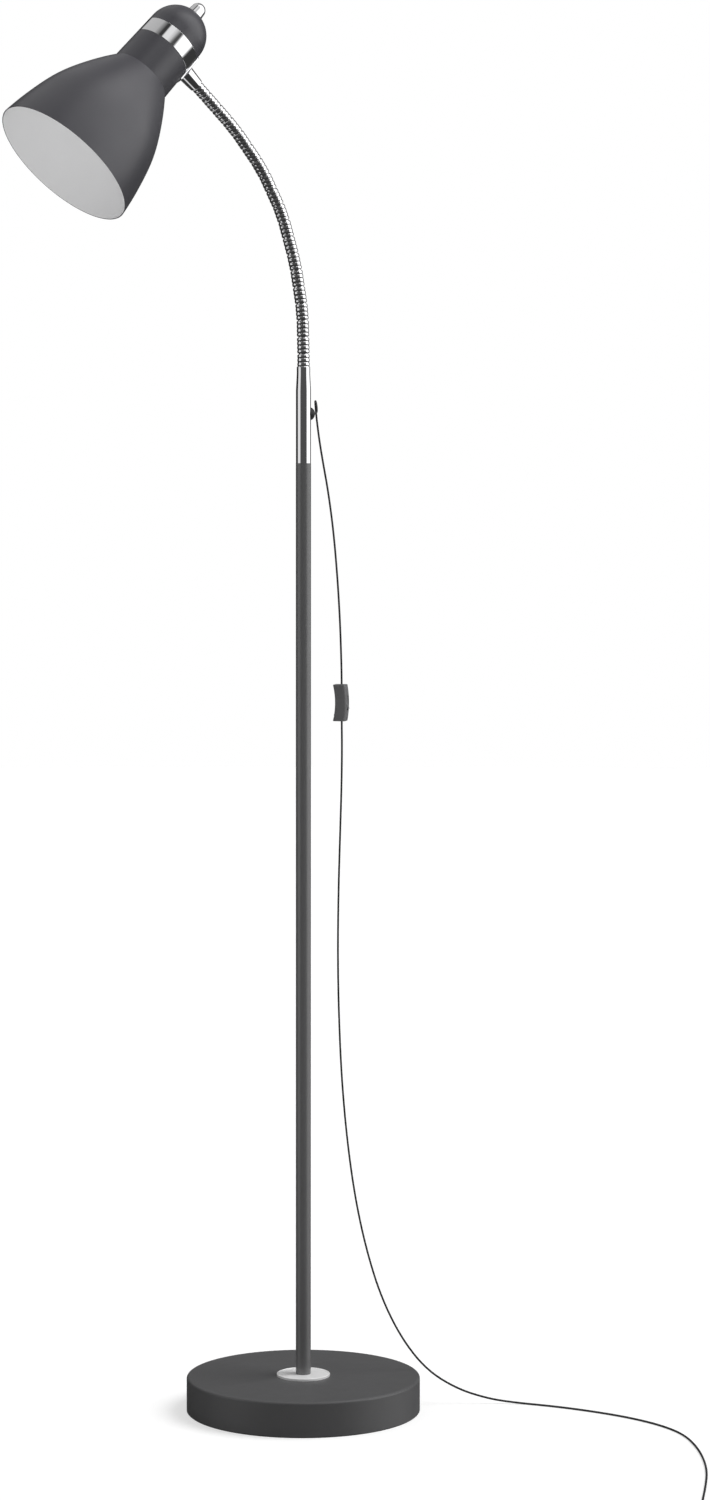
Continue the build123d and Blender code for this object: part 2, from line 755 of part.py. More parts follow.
def lampholder():
    """Moulded holder with a screwed top, a floor for the contact and a wide mouth."""
    ceiling = HOLDER_FLOOR_S + HOLDER_FLOOR_T
    socket = SOCKET_SHELL_R + FIT
    body = turned(
        (socket, HOLDER_FROM_S),
        (HOLDER_R, HOLDER_FROM_S),
        (HOLDER_R, SEAT_S),
        (HOLDER_TOP_R, SEAT_S + HOLDER_SLOPE_L),
        (HOLDER_TOP_R, HOLDER_TO_S - HOLDER_BEVEL),
        (HOLDER_TOP_R - HOLDER_BEVEL, HOLDER_TO_S),
        (STUD_R + FIT, HOLDER_TO_S),
        (STUD_R + FIT, HOLDER_TO_S - STEM_GRIP),
        (HOLDER_CHAMBER_R, HOLDER_TO_S - STEM_GRIP),
        (HOLDER_CHAMBER_R, ceiling),
        (0, ceiling),
        (0, HOLDER_FLOOR_S),
        (socket, HOLDER_FLOOR_S),
    )
    entry = Pos(0, 0, LEAD_SIDE_S) * Rot(0, 90, 0) * rod(CORD_R + CORD_FIT, STUD_R, HOLDER_R)
    return placed(HEAD_FRAME, body - entry)


def lampholder_shell():
    inner = SOCKET_SHELL_R - SOCKET_SHELL_WALL
    low = HOLDER_FROM_S + SOCKET_SHELL_INSET
    return placed(HEAD_FRAME, ring(SOCKET_SHELL_R, inner, low, HOLDER_FLOOR_S))


def lampholder_contact():
    """Sprung tongue under the bulb's tip."""
    half_l, half_w = CONTACT_L / 2, CONTACT_W / 2
    top = HOLDER_FLOOR_S
    tongue = block((-half_l, half_l), (-half_w, half_w), (top - CONTACT_T, top))
    button = rod(CONTACT_BUTTON_R, SEAT_S, top - CONTACT_T)
    return placed(HEAD_FRAME, tongue + button)


def bulb_globe():
    """Glass dome of the bulb."""
    start = BULB_BODY_TO_S
    shoulder = BULB_TIP_S + BULB_R
    mid = BULB_R * sqrt(0.5)
    inner = BULB_R - BULB_WALL
    inner_mid = inner * sqrt(0.5)
    globe = turned(
        (inner, start),
        (BULB_R, start),
        (BULB_R, shoulder),
        ((mid, shoulder - mid), (0, BULB_TIP_S)),
        (0, BULB_TIP_S + BULB_WALL),
        ((inner_mid, shoulder - inner_mid), (inner, shoulder)),
    )
    return placed(HEAD_FRAME, globe)


def bulb_body():
    """White body that narrows from the globe to the screw cap."""
    neck = HOLDER_FROM_S - BULB_OUT
    share, drop = BULB_SHOULDER
    return placed(HEAD_FRAME, turned(
        (0, BULB_BODY_TO_S),
        (BULB_R, BULB_BODY_TO_S),
        ((BULB_R * share, BULB_BODY_TO_S + drop), (BULB_CAP_R + BULB_NECK_OVER_CAP, neck)),
        (0, neck),
    ))


def bulb_cap():
    """Screw cap with an insulated tip."""
    low = HOLDER_FROM_S - BULB_OUT
    cone = SEAT_S - BULB_TIP_L
    return placed(HEAD_FRAME, turned(
        (0, low),
        (BULB_CAP_R, low),
        (BULB_CAP_R, cone - BULB_TIP_CONE_L),
        (BULB_TIP_R, cone),
        (BULB_TIP_R, SEAT_S),
        (0, SEAT_S),
    ))


# ---------------------------------------------------------------- leads inside tube, neck and head


def neck_lead():
    """The cord inside: in through the grommet, up the tube and through every link to the swivel."""
    bends = [f.origin for n, f in enumerate(NECK_FRAMES, 1) if not turns_sideways(n)]
    points = [(TUBE_R + GROMMET_PROUD, 0, GROMMET_Z), (0, 0, GROMMET_Z)]
    return tube_along([*points, *bends, SWIVEL_POINT], "neck_lead")


def head_lead():
    """The cord from the swivel, past the nut and into the side of the lampholder."""
    to_head = HEAD_FRAME.to_local_coords(SWIVEL_POINT)
    drop = tan(radians(HEAD_TAPER)) * (to_head.X - LEAD_SIDE_X)
    local = [
        (to_head.X, 0, to_head.Z),
        (LEAD_SIDE_X, 0, to_head.Z - drop),
        (LEAD_SIDE_X, 0, LEAD_SIDE_S),
        (HOLDER_CHAMBER_R, 0, LEAD_SIDE_S),
    ]
    return tube_along([HEAD_FRAME.from_local_coords(Vector(*p)) for p in local], "head_lead")


# ---------------------------------------------------------------- switch on the cord


def switch_blank():
    """Outer shape of the switch: an arched block with rounded edges, the cord along Z."""
    half = SWITCH_L / 2
    face = outline(
        (-SWITCH_BACK_END, -half),
        (SWITCH_FRONT_END, -half),
        ((SWITCH_FRONT_MID, 0), (SWITCH_FRONT_END, half)),
        (-SWITCH_BACK_END, half),
        ((-SWITCH_BACK_MID, 0), (-SWITCH_BACK_END, -half)),
    )
    blank = extrude(face, SWITCH_W / 2, both=True)
    blank = fillet([e for e in blank.edges() if e.length > 0.8 * SWITCH_L], SWITCH_ROUND)
    ends = blank.edges().group_by(Axis.Z)
    return fillet(ends[0] + ends[-1], SWITCH_END_ROUND)


def screw_bar(radius, low, high, place):
    return Pos(0, place[0], place[1]) * Rot(0, 90, 0) * rod(radius, low, high)


def switch_hollow():
    """Everything that is cut out of both halves: cavity, cord entries and screw holes."""
    back, front, half_w, half_l = SWITCH_CAVITY
    hollow = block((-back, front), (-half_w, half_w), (-half_l, half_l))
    hollow += rod(CORD_R + CORD_FIT, -SWITCH_L, SWITCH_L)
    for place in SCREW_PLACES:
        hollow += screw_bar(SCREW_R + FIT, -SWITCH_W, SCREW_TIP + FIT, place)
        hollow += screw_bar(SCREW_HEAD_R + 3 * FIT, -SWITCH_W, SCREW_HEAD[1], place)
    return hollow


def switch_back():
    half = switch_blank() & block((-SWITCH_W, 0), (-SWITCH_W, SWITCH_W), (-SWITCH_L, SWITCH_L))
    return placed(SWITCH_FRAME, half - switch_hollow())


def switch_front():
    """Front half, with the rocker's window and the two holes for its pins."""
    half = switch_blank() & block((0, SWITCH_W), (-SWITCH_W, SWITCH_W), (-SWITCH_L, SWITCH_L))
    window_w = ROCKER_W / 2 + ROCKER_CLEARANCE
    window_l = ROCKER_L / 2 + 2 * ROCKER_CLEARANCE
    half -= block((0, SWITCH_W), (-window_w, window_w), (-window_l, window_l))
    pin = Pos(ROCKER_PIVOT, 0, 0) * Rot(90, 0, 0) * Cylinder(ROCKER_PIN_R + FIT, 2 * (PIN_REACH + FIT))
    return placed(SWITCH_FRAME, half - switch_hollow() - pin)


PIN_REACH = ROCKER_W / 2 + ROCKER_PIN_L  # end of a pin from the switch's middle


def switch_rocker():
    """Dished rocker on a pin, its upper end pressed in."""
    half = ROCKER_L / 2
    web = ROCKER_WEB
    back = ROCKER_PIVOT - web
    profile = outline(
        (back, -web),
        (back, web - half),
        (ROCKER_PROUD - ROCKER_END_T, -half),
        (ROCKER_PROUD, -half),
        ((ROCKER_PROUD - ROCKER_DISH, 0), (ROCKER_PROUD, half)),
        (ROCKER_PROUD - ROCKER_END_T, half),
        (back, half - web),
        (back, web),
    )
    body = extrude(profile, ROCKER_W / 2, both=True)
    pin = Pos(ROCKER_PIVOT, 0, 0) * Rot(90, 0, 0) * Cylinder(ROCKER_PIN_R, 2 * PIN_REACH)
    level = body + pin
    pressed = Pos(ROCKER_PIVOT, 0, 0) * Rot(0, -ROCKER_TILT, 0) * Pos(-ROCKER_PIVOT, 0, 0) * level
    return placed(SWITCH_FRAME, pressed)


def switch_contacts():
    """Two brass strips on the back half, with a gap that the rocker bridges."""
    back = -SWITCH_CAVITY[0]
    thick, wide, long = CONTACT_STRIP
    strips = []
    for across, along in CONTACT_STRIP_PLACES:
        side = (across - wide / 2, across + wide / 2)
        strip = block((back, back + thick), side, (along - long / 2, along + long / 2))
        if along:
            post = (along - thick, along + thick)
            strip += block((back + thick, back + thick + CONTACT_POST_H), side, post)
        strips += strip.solids()
    return placed(SWITCH_FRAME, Compound(children=strips))


def switch_screws():
    screws = []
    for place in SCREW_PLACES:
        screw = screw_bar(SCREW_R, SCREW_HEAD[1], SCREW_TIP, place)
        screw += screw_bar(SCREW_HEAD_R, *SCREW_HEAD, place)
        screws += screw.solids()
    return placed(SWITCH_FRAME, Compound(children=screws))


# ---------------------------------------------------------------- coil, tail and plug


def coil_frame():
    """Frame of the coil: y against the cord's arrival, origin at the coil's centre."""
    end = Vector(*CORD_LOWER_ROUTE[-1])
    heading = (end - Vector(*CORD_LOWER_ROUTE[-2])).normalized()
    across = Vector(-heading.Y, heading.X, 0)  # to the left of the arriving cord
    outer = COIL_MID_R + COIL_HALF_TURNS_IN * COIL_STEP / 4
    centre = end + heading * CORD_D - across * outer
    return Plane(origin=centre, x_dir=across, z_dir=(0, 0, 1)), outer


def coil_stations(outer):
    """Points half a turn apart, each with its radius, side and height, running clockwise."""
    stations = []
    for k in range(COIL_HALF_TURNS_IN + 1):
        stations.append((outer - k * COIL_STEP / 2, 0.0))
    inner = outer - COIL_HALF_TURNS_IN * COIL_STEP / 2
    for k in range(COIL_HALF_TURNS_OUT + 1):
        stations.append((inner + k * COIL_STEP / 2, COIL_STEP))
    return [Vector(r if k % 2 == 0 else -r, 0, z) for k, (r, z) in enumerate(stations)]


def half_turn(start, end, towards):
    """Two arcs of a quarter turn each, level at both ends, from start to end."""
    arm = (end - start).length / 2
    ahead = Vector(0, towards, 0)
    first, second = start + ahead * arm, end + ahead * arm
    middle = (first + second) / 2
    return [quarter(start, first, middle), quarter(middle, second, end)]


def quarter(start, corner, end):
    """Arc of a quarter turn that leaves start and reaches end square to each other."""
    centre = start + end - corner
    bulge = centre + (corner - centre).normalized() * (start - centre).length
    return ThreePointArc(start, bulge, end)


def cord_coil():
    """Neat coil of two layers, one unbroken tube, and where it leaves."""
    frame, outer = coil_frame()
    stations = coil_stations(outer)
    first = stations[0]
    edges = [Line(first + Vector(0, CORD_D, 0), first)]
    for k, (a, b) in enumerate(zip(stations, stations[1:])):
        edges += half_turn(a, b, -1 if k % 2 == 0 else 1)
    last = stations[-1]
    side = 1 if last.X > 0 else -1
    radius = abs(last.X) + COIL_STEP / 4
    corner = last - Vector(0, side * radius, 0)
    leave = corner - Vector(side * radius, 0, 0)
    edges.append(quarter(last, corner, leave))
    tail = leave - Vector(side * CORD_D, 0, 0)
    edges.append(Line(leave, tail))
    path = Wire(edges)
    check_coil(path)
    coil = sweep(Plane(origin=edges[0] @ 0, z_dir=edges[0] % 0) * Circle(CORD_R), path=path)
    points = [frame.from_local_coords(p) for p in (leave, tail)]
    return placed(frame, coil), points


def check_coil(path):
    """Print the coil's length and the least gap between its turns, measured on points."""
    count = 700
    points = [path @ (k / count) for k in range(count + 1)]
    apart = int(count * 1.5 * COIL_MID_R / path.length) + 1
    least = min(
        (points[a] - points[b]).length for a in range(count + 1) for b in range(a + apart, count + 1)
    )
    print(f"cord_coil: length {path.length:.1f}, least gap between turns {least - CORD_D:.2f}")


def tail_route(leave, start):
    """Short stretch that rises from the coil's upper layer to the plug's height."""
    ahead = (start - leave).normalized()
    route = [start]
    rise = (PLUG_T / 2 - start.Z) / sum(run[2] for run in TAIL_RUNS)
    for length, heading, share in TAIL_RUNS:
        step = ahead.rotate(Axis.Z, heading) * length
        route.append(route[-1] + step + Vector(0, 0, rise * share))
    return route


def plug_frame(route):
    """Frame of the plug, lying level, z along it, y up."""
    along = route[-1] - route[-2]
    along = Vector(along.X, along.Y, 0).normalized()
    return Plane(origin=route[-1], x_dir=along.cross(Vector(0, 0, 1)) * -1, z_dir=along)


def plug_body():
    """Moulded plug that narrows to a tapered strain relief."""
    low, high = RELIEF_L, RELIEF_L + PLUG_L
    half_w, half_t, nose = PLUG_W / 2, PLUG_T / 2, PLUG_NOSE_W / 2
    face = outline(
        (-nose, low),
        (nose, low),
        (half_w, low + PLUG_SHOULDER_L),
        (half_w, high),
        (-half_w, high),
        (-half_w, low + PLUG_SHOULDER_L),
    )
    body = extrude(face, half_t, both=True)
    body = fillet([e for e in body.edges() if abs(e.center().Y) > half_t - FIT], PLUG_ROUND)
    bore = CORD_R + CORD_FIT
    end = low + RELIEF_IN_PLUG
    relief = turned((bore, 0), (CORD_R + RELIEF_TIP_WALL, 0), (RELIEF_R, end), (bore, end))
    for number in range(RELIEF_GROOVES):
        groove = low - RELIEF_GROOVE_PITCH * (number + 1)
        relief -= ring(RELIEF_R, CORD_R + RELIEF_TIP_WALL, groove, groove + RELIEF_GROOVE_W)
    return body + relief - rod(bore, 0, low + PLUG_BORE_L)


def plug_blades():
    low = RELIEF_L + PLUG_L
    blades = []
    for side in (-1, 1):
        x = side * BLADE_SPACING / 2
        blade = block((x - BLADE_T / 2, x + BLADE_T / 2), (-BLADE_W / 2, BLADE_W / 2), (low, low + BLADE_L))
        tips = blade.edges().group_by(Axis.Z)[-1].filter_by(Axis.X)
        blades += chamfer(tips, BLADE_CHAMFER).solids()
    return Compound(children=blades)


# ---------------------------------------------------------------- the whole lamp


def main():
    os.makedirs("parts", exist_ok=True)

    write("base_cover", base_cover())
    write("base_weight", base_weight())
    write("base_pad", base_pad())
    write("pole_flange", pole_flange())
    write("base_stud", base_stud())
    write("base_washer", base_washer())
    write("base_nut", base_nut())

    write("pole_lower", pole_section(POLE_FOOT, POLE_SEAM))
    write("pole_coupler", coupler(POLE_SEAM))
    write("pole_upper", pole_section(POLE_SEAM, POLE_TOP))
    write("tube_coupler", coupler(POLE_TOP))
    write("neck_tube", neck_tube())
    write("cord_grommet", cord_grommet())

    write("neck_root", neck_root())
    for number, frame in enumerate(NECK_FRAMES[:-1], 1):
        write(f"neck_link_{number:02d}", placed(frame, neck_link()))
    write("neck_end", placed(TIP_FRAME, neck_end()))
    write("neck_ferrule", placed(TIP_FRAME, neck_ferrule()))
    write("neck_lead", neck_lead())

    write("swivel_stud", swivel_stud())
    write("swivel_nut", swivel_nut())
    write("saddle_plate", saddle_plate())
    write("shade", shade())
    write("shade_band", shade_band())
    write("shade_cap", shade_cap())
    write("cap_knob", cap_knob())
    write("holder_stem", holder_stem())
    write("lampholder", lampholder())
    write("lampholder_shell", lampholder_shell())
    write("lampholder_contact", lampholder_contact())
    write("bulb_globe", bulb_globe())
    write("bulb_body", bulb_body())
    write("bulb_cap", bulb_cap())
    write("head_lead", head_lead())

    write("cord_upper", tube_along(CORD_UPPER_ROUTE, "cord_upper"))
    write("cord_lower", tube_along(CORD_LOWER_ROUTE, "cord_lower"))
    coil, leave = cord_coil()
    write("cord_coil", coil)
    tail = tail_route(*leave)
    write("cord_tail", tube_along(tail, "cord_tail"))
    write("plug_body", placed(plug_frame(tail), plug_body()))
    write("plug_blades", placed(plug_frame(tail), plug_blades()))

    write("switch_back", switch_back())
    write("switch_front", switch_front())
    write("switch_rocker", switch_rocker())
    write("switch_contacts", switch_contacts())
    write("switch_screws", switch_screws())


main()
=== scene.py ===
# %% [markdown]
# # A gooseneck reading lamp
# The lamp is a heavy round base, a straight painted pole, a chromed tube that the cord comes out
# of, a bendable ribbed neck and a bell-shaped shade. Its solids are already made and jointed, so
# this lesson dresses them: it gives every solid a finish, spins finer meshes where light runs over
# a curve, lays the cord, and sets up the studio that the lamp is seen in.

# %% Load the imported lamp
import json
from math import atan2, cos, pi, radians, sin, sqrt, tan

import bmesh
import bpy
from mathutils import Matrix, Vector


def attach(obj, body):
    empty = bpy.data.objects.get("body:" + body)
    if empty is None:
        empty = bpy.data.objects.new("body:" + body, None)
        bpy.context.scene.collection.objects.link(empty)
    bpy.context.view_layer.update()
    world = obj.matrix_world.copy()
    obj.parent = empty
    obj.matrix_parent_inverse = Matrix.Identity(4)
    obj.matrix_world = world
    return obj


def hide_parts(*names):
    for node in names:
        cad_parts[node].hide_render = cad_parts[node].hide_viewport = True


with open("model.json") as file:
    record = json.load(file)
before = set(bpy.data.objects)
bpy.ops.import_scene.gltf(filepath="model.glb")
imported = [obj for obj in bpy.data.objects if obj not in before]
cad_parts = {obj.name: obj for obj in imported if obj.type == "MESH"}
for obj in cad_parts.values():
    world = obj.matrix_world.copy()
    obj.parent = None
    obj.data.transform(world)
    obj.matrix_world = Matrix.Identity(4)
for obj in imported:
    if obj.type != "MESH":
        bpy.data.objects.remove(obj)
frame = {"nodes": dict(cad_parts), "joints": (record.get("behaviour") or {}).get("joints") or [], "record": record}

NODES = frame["nodes"]
JOINTS = {joint["name"]: joint for joint in frame["joints"]}
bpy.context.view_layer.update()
MM = 0.001

# %% [markdown]
# ## The camera
# A long lens far away keeps the pole nearly parallel from top to bottom. Its place and turn come
# from the ellipse of the base and the lean of the pole's edges, so the camera is a measured value
# and not a matter of taste. Blender's camera looks along its own -Z: a turn about X lifts it to
# the horizon, and a turn about the world's Z then points it at the lamp.

# %% Camera
PHOTO_HEIGHT = 1500
FOCAL_PIXELS = 3953.4
SENSOR_HEIGHT = 36.0
CAMERA_PLACE = (-2.1744, -3.5692, 1.0129)
CAMERA_TURN = radians(-32.1)
CAMERA_DROP = radians(4.149)
CAMERA_ROLL = radians(0.062)

camera_data = bpy.data.cameras.new("camera")
camera_data.sensor_fit = "VERTICAL"
camera_data.sensor_height = SENSOR_HEIGHT
camera_data.lens = FOCAL_PIXELS / PHOTO_HEIGHT * SENSOR_HEIGHT
camera = bpy.data.objects.new("camera", camera_data)
camera.matrix_world = (
    Matrix.Translation(CAMERA_PLACE)
    @ Matrix.Rotation(CAMERA_TURN, 4, "Z")
    @ Matrix.Rotation(pi / 2 - CAMERA_DROP, 4, "X")
    @ Matrix.Rotation(CAMERA_ROLL, 4, "Z")
)
bpy.context.scene.collection.objects.link(camera)
bpy.context.scene.camera = camera
print(f"lens {camera_data.lens:.1f} mm")

# %% [markdown]
# ## The route of the cord
# The cord leaves the tube through a rubber grommet, loops over once, hangs with a switch on it,
# sweeps out over the base's edge and lies on the floor. It is one smooth spline whose control
# points are the corners of the route. What the picture doesn't show is wound into a small
# two-layer coil, and the plug lies beside it. The coil's turns come from a loop: half turns, each
# a little smaller than the one before, and then larger again in the upper layer.

# %% Control points of the free cord, in metres
CORD_RADIUS = 0.0011
CORD_UPPER_ROUTE = [
    (0.0124, 0.0, 1.0648),
    (0.0164, 0.0, 1.0648),
    (0.0176, 0.0016, 1.0710),
    (0.0184, 0.0052, 1.0780),
    (0.0210, 0.0108, 1.0785),
    (0.0234, 0.0132, 1.0680),
    (0.0252, 0.0130, 1.0530),
    (0.0274, 0.0120, 1.0350),
    (0.0308, 0.0102, 1.0120),
    (0.0352, 0.0076, 0.9840),
    (0.0399, 0.0046, 0.9430),
    (0.0434, 0.0023, 0.8960),
    (0.0459, 0.0007, 0.8480),
    (0.0472, -0.0001, 0.8040),
    (0.0476, -0.0003, 0.7780),
]
CORD_LOWER_ROUTE = [
    (0.0476, -0.0003, 0.7390),
    (0.0479, -0.0005, 0.7120),
    (0.0475, -0.0004, 0.6720),
    (0.0460, -0.0001, 0.6220),
    (0.0446, 0.0004, 0.5720),
    (0.0438, 0.0008, 0.5220),
    (0.0438, 0.0008, 0.4700),
    (0.0449, 0.0002, 0.4180),
    (0.0468, -0.0010, 0.3660),
    (0.0500, -0.0030, 0.3160),
    (0.0546, -0.0060, 0.2660),
    (0.0610, -0.0100, 0.2170),
    (0.0704, -0.0154, 0.1680),
    (0.0834, -0.0228, 0.1190),
    (0.1020, -0.0336, 0.0740),
    (0.1260, -0.0468, 0.0380),
    (0.1550, -0.0630, 0.0165),
    (0.1840, -0.0810, 0.0055),
    (0.2090, -0.0970, CORD_RADIUS),
    (0.2340, -0.1310, CORD_RADIUS),
    (0.2560, -0.1710, CORD_RADIUS),
    (0.2735, -0.2140, CORD_RADIUS),
    (0.2825, -0.2590, CORD_RADIUS),
    (0.2800, -0.3030, CORD_RADIUS),
    (0.2625, -0.3480, CORD_RADIUS),
    (0.2380, -0.3940, CORD_RADIUS),
    (0.2080, -0.4400, CORD_RADIUS),
    (0.1720, -0.4850, CORD_RADIUS),
    (0.1390, -0.5240, CORD_RADIUS),
    (0.1090, -0.5600, CORD_RADIUS),
]

# %% The coil, worked out half turn by half turn
COIL_MID_RADIUS = 0.0122
COIL_STEP = 0.00315
COIL_HALF_TURNS_IN = 6
COIL_HALF_TURNS_OUT = 5
POINTS_A_HALF_TURN = 8
TAIL_RUNS = (
    (0.0100, 0.0, 0.0),
    (0.0120, 10.0, 0.6),
    (0.0130, 22.0, 1.5),
    (0.0130, 31.0, 1.2),
    (0.0110, 36.0, 0.05),
)
PLUG_HALF_THICKNESS = 0.0065


def arc_points(start, centre, ahead, turn, steps):
    """Control points round an arc that leaves start square to its radius, along ahead."""
    radius = (start - centre).length
    out = (start - centre).normalized()
    reach = radius / cos(turn / steps / 2)
    angles = [(i + 0.5) * turn / steps for i in range(steps)]
    return [centre + out * (reach * cos(a)) + ahead * (reach * sin(a)) for a in angles]


def coil_route():
    """Control points of the coil and of the short tail to the plug."""
    end = Vector(CORD_LOWER_ROUTE[-1])
    heading = (end - Vector(CORD_LOWER_ROUTE[-2])).normalized()
    across = Vector((-heading.y, heading.x, 0))
    outer = COIL_MID_RADIUS + COIL_HALF_TURNS_IN * COIL_STEP / 4
    centre = end + heading * 2 * CORD_RADIUS - across * outer
    inner = outer - COIL_HALF_TURNS_IN * COIL_STEP / 2
    radii = [outer - k * COIL_STEP / 2 for k in range(COIL_HALF_TURNS_IN + 1)]
    radii += [inner + k * COIL_STEP / 2 for k in range(COIL_HALF_TURNS_OUT + 1)]
    stations = []
    for k, radius in enumerate(radii):
        lift = COIL_STEP if k > COIL_HALF_TURNS_IN else 0.0
        side = 1 if k % 2 == 0 else -1
        stations.append(centre + across * radius * side + Vector((0, 0, lift)))
    points = []
    for k, (a, b) in enumerate(zip(stations, stations[1:])):
        ahead = heading if k % 2 == 0 else -heading
        points += arc_points(a, (a + b) / 2, ahead, pi, POINTS_A_HALF_TURN)
    last = stations[-1]
    side = 1 if (last - centre).dot(across) > 0 else -1
    radius = radii[-1] + COIL_STEP / 4
    middle = last - across * side * radius
    points += arc_points(last, middle, heading * side, pi / 2, POINTS_A_HALF_TURN // 2)
    ahead = -across * side
    place = middle + heading * side * radius + ahead * 2 * CORD_RADIUS
    points.append(place.copy())
    rise = (PLUG_HALF_THICKNESS - place.z) / sum(run[2] for run in TAIL_RUNS)
    for length, angle, share in TAIL_RUNS:
        step = Matrix.Rotation(radians(angle), 3, "Z") @ ahead * length
        place = place + step + Vector((0, 0, rise * share))
        points.append(place.copy())
    return points


cord_points = [*CORD_UPPER_ROUTE, *CORD_LOWER_ROUTE, *coil_route()]
print(f"cord: {len(cord_points)} control points")

# %% [markdown]
# ## The cord itself
# A curve with a round bevel is the natural cord: its line is exact and it has no seams. The bevel
# is one metre and each point's own radius is the cord's, so that the bound box, which counts a
# point's radius as it stands, fits the cord. The order and the end condition are set after the
# points, because a spline with one point can't hold them.


def make_cord():
    data = bpy.data.curves.new("power_cord", "CURVE")
    data.dimensions = "3D"
    spline = data.splines.new("NURBS")
    spline.points.add(len(cord_points) - 1)
    for point, place in zip(spline.points, cord_points):
        point.co = (*place, 1)
        point.radius = CORD_RADIUS
    spline.order_u = 3
    spline.use_endpoint_u = True
    spline.resolution_u = 6
    data.bevel_depth = 1.0
    data.bevel_resolution = 3
    data.use_fill_caps = True
    piece = bpy.data.objects.new("power_cord", data)
    bpy.context.scene.collection.objects.link(piece)
    return piece


power_cord = make_cord()
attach(power_cord, "stand")
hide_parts("cord_upper", "cord_lower", "cord_coil", "cord_tail")

# %% [markdown]
# ## Shared node groups
# Two effects come back in almost every finish. Paint and moulded plastic have a fine uneven skin,
# and every handled surface is slightly more or less glossy from place to place. Each effect is a
# node group with named inputs, so that a material only states its own scale and strength.

# %% Node groups
FINE_RATIO = 4.3  # fine noise against the coarse one
TONE_RATIO = 0.4  # clouds of colour against clouds of roughness


def new_group(name, inputs, outputs):
    """Shader node group with float or vector sockets, and its two end nodes."""
    group = bpy.data.node_groups.new(name, "ShaderNodeTree")
    for label, kind, value in inputs:
        socket = group.interface.new_socket(label, in_out="INPUT", socket_type=kind)
        if value is not None:
            socket.default_value = value
    for label, kind in outputs:
        group.interface.new_socket(label, in_out="OUTPUT", socket_type=kind)
    start = group.nodes.new("NodeGroupInput")
    end = group.nodes.new("NodeGroupOutput")
    return group, start, end


def make_skin_group():
    """Fine uneven skin: a height for bump, from a coarse and a fine noise."""
    group, start, end = new_group(
        "uneven_skin",
        [
            ("Vector", "NodeSocketVector", None),
            ("Scale", "NodeSocketFloat", 900.0),
            ("Fine Share", "NodeSocketFloat", 0.4),
        ],
        [("Height", "NodeSocketFloat")],
    )
    coarse = group.nodes.new("ShaderNodeTexNoise")
    coarse.inputs["Detail"].default_value = 2.0
    fine = group.nodes.new("ShaderNodeTexNoise")
    fine.inputs["Detail"].default_value = 1.0
    finer = group.nodes.new("ShaderNodeMath")
    finer.operation = "MULTIPLY"
    finer.inputs[1].default_value = FINE_RATIO
    mix = group.nodes.new("ShaderNodeMix")
    link = group.links.new
    link(start.outputs["Vector"], coarse.inputs["Vector"])
    link(start.outputs["Vector"], fine.inputs["Vector"])
    link(start.outputs["Scale"], coarse.inputs["Scale"])
    link(start.outputs["Scale"], finer.inputs[0])
    link(finer.outputs[0], fine.inputs["Scale"])
    link(start.outputs["Fine Share"], mix.inputs["Factor"])
    link(coarse.outputs["Fac"], mix.inputs["A"])
    link(fine.outputs["Fac"], mix.inputs["B"])
    link(mix.outputs["Result"], end.inputs["Height"])
    return group


def make_handling_group():
    """Soft cloudy variation between two values, as from handling and polishing."""
    group, start, end = new_group(
        "handling_marks",
        [
            ("Vector", "NodeSocketVector", None),
            ("Scale", "NodeSocketFloat", 30.0),
            ("Low", "NodeSocketFloat", 0.3),
            ("High", "NodeSocketFloat", 0.4),
        ],
        [("Value", "NodeSocketFloat")],
    )
    cloud = group.nodes.new("ShaderNodeTexNoise")
    cloud.inputs["Detail"].default_value = 4.0
    cloud.inputs["Roughness"].default_value = 0.6
    spread = group.nodes.new("ShaderNodeMapRange")
    spread.inputs["From Min"].default_value = 0.3
    spread.inputs["From Max"].default_value = 0.7
    link = group.links.new
    link(start.outputs["Vector"], cloud.inputs["Vector"])
    link(start.outputs["Scale"], cloud.inputs["Scale"])
    link(cloud.outputs["Fac"], spread.inputs["Value"])
    link(start.outputs["Low"], spread.inputs["To Min"])
    link(start.outputs["High"], spread.inputs["To Max"])
    link(spread.outputs["Result"], end.inputs["Value"])
    return group


SKIN = make_skin_group()
HANDLING = make_handling_group()
print("node groups:", SKIN.name, HANDLING.name)

# %% [markdown]
# ## A maker for materials
# Every finish starts from one Principled shader. Three things vary over the surface: a slightly
# cloudy colour, a cloudy roughness and a skin for bump. What stays the same all over, such as
# metalness or a coat, is set on the shader's own sockets.

# %% Material maker


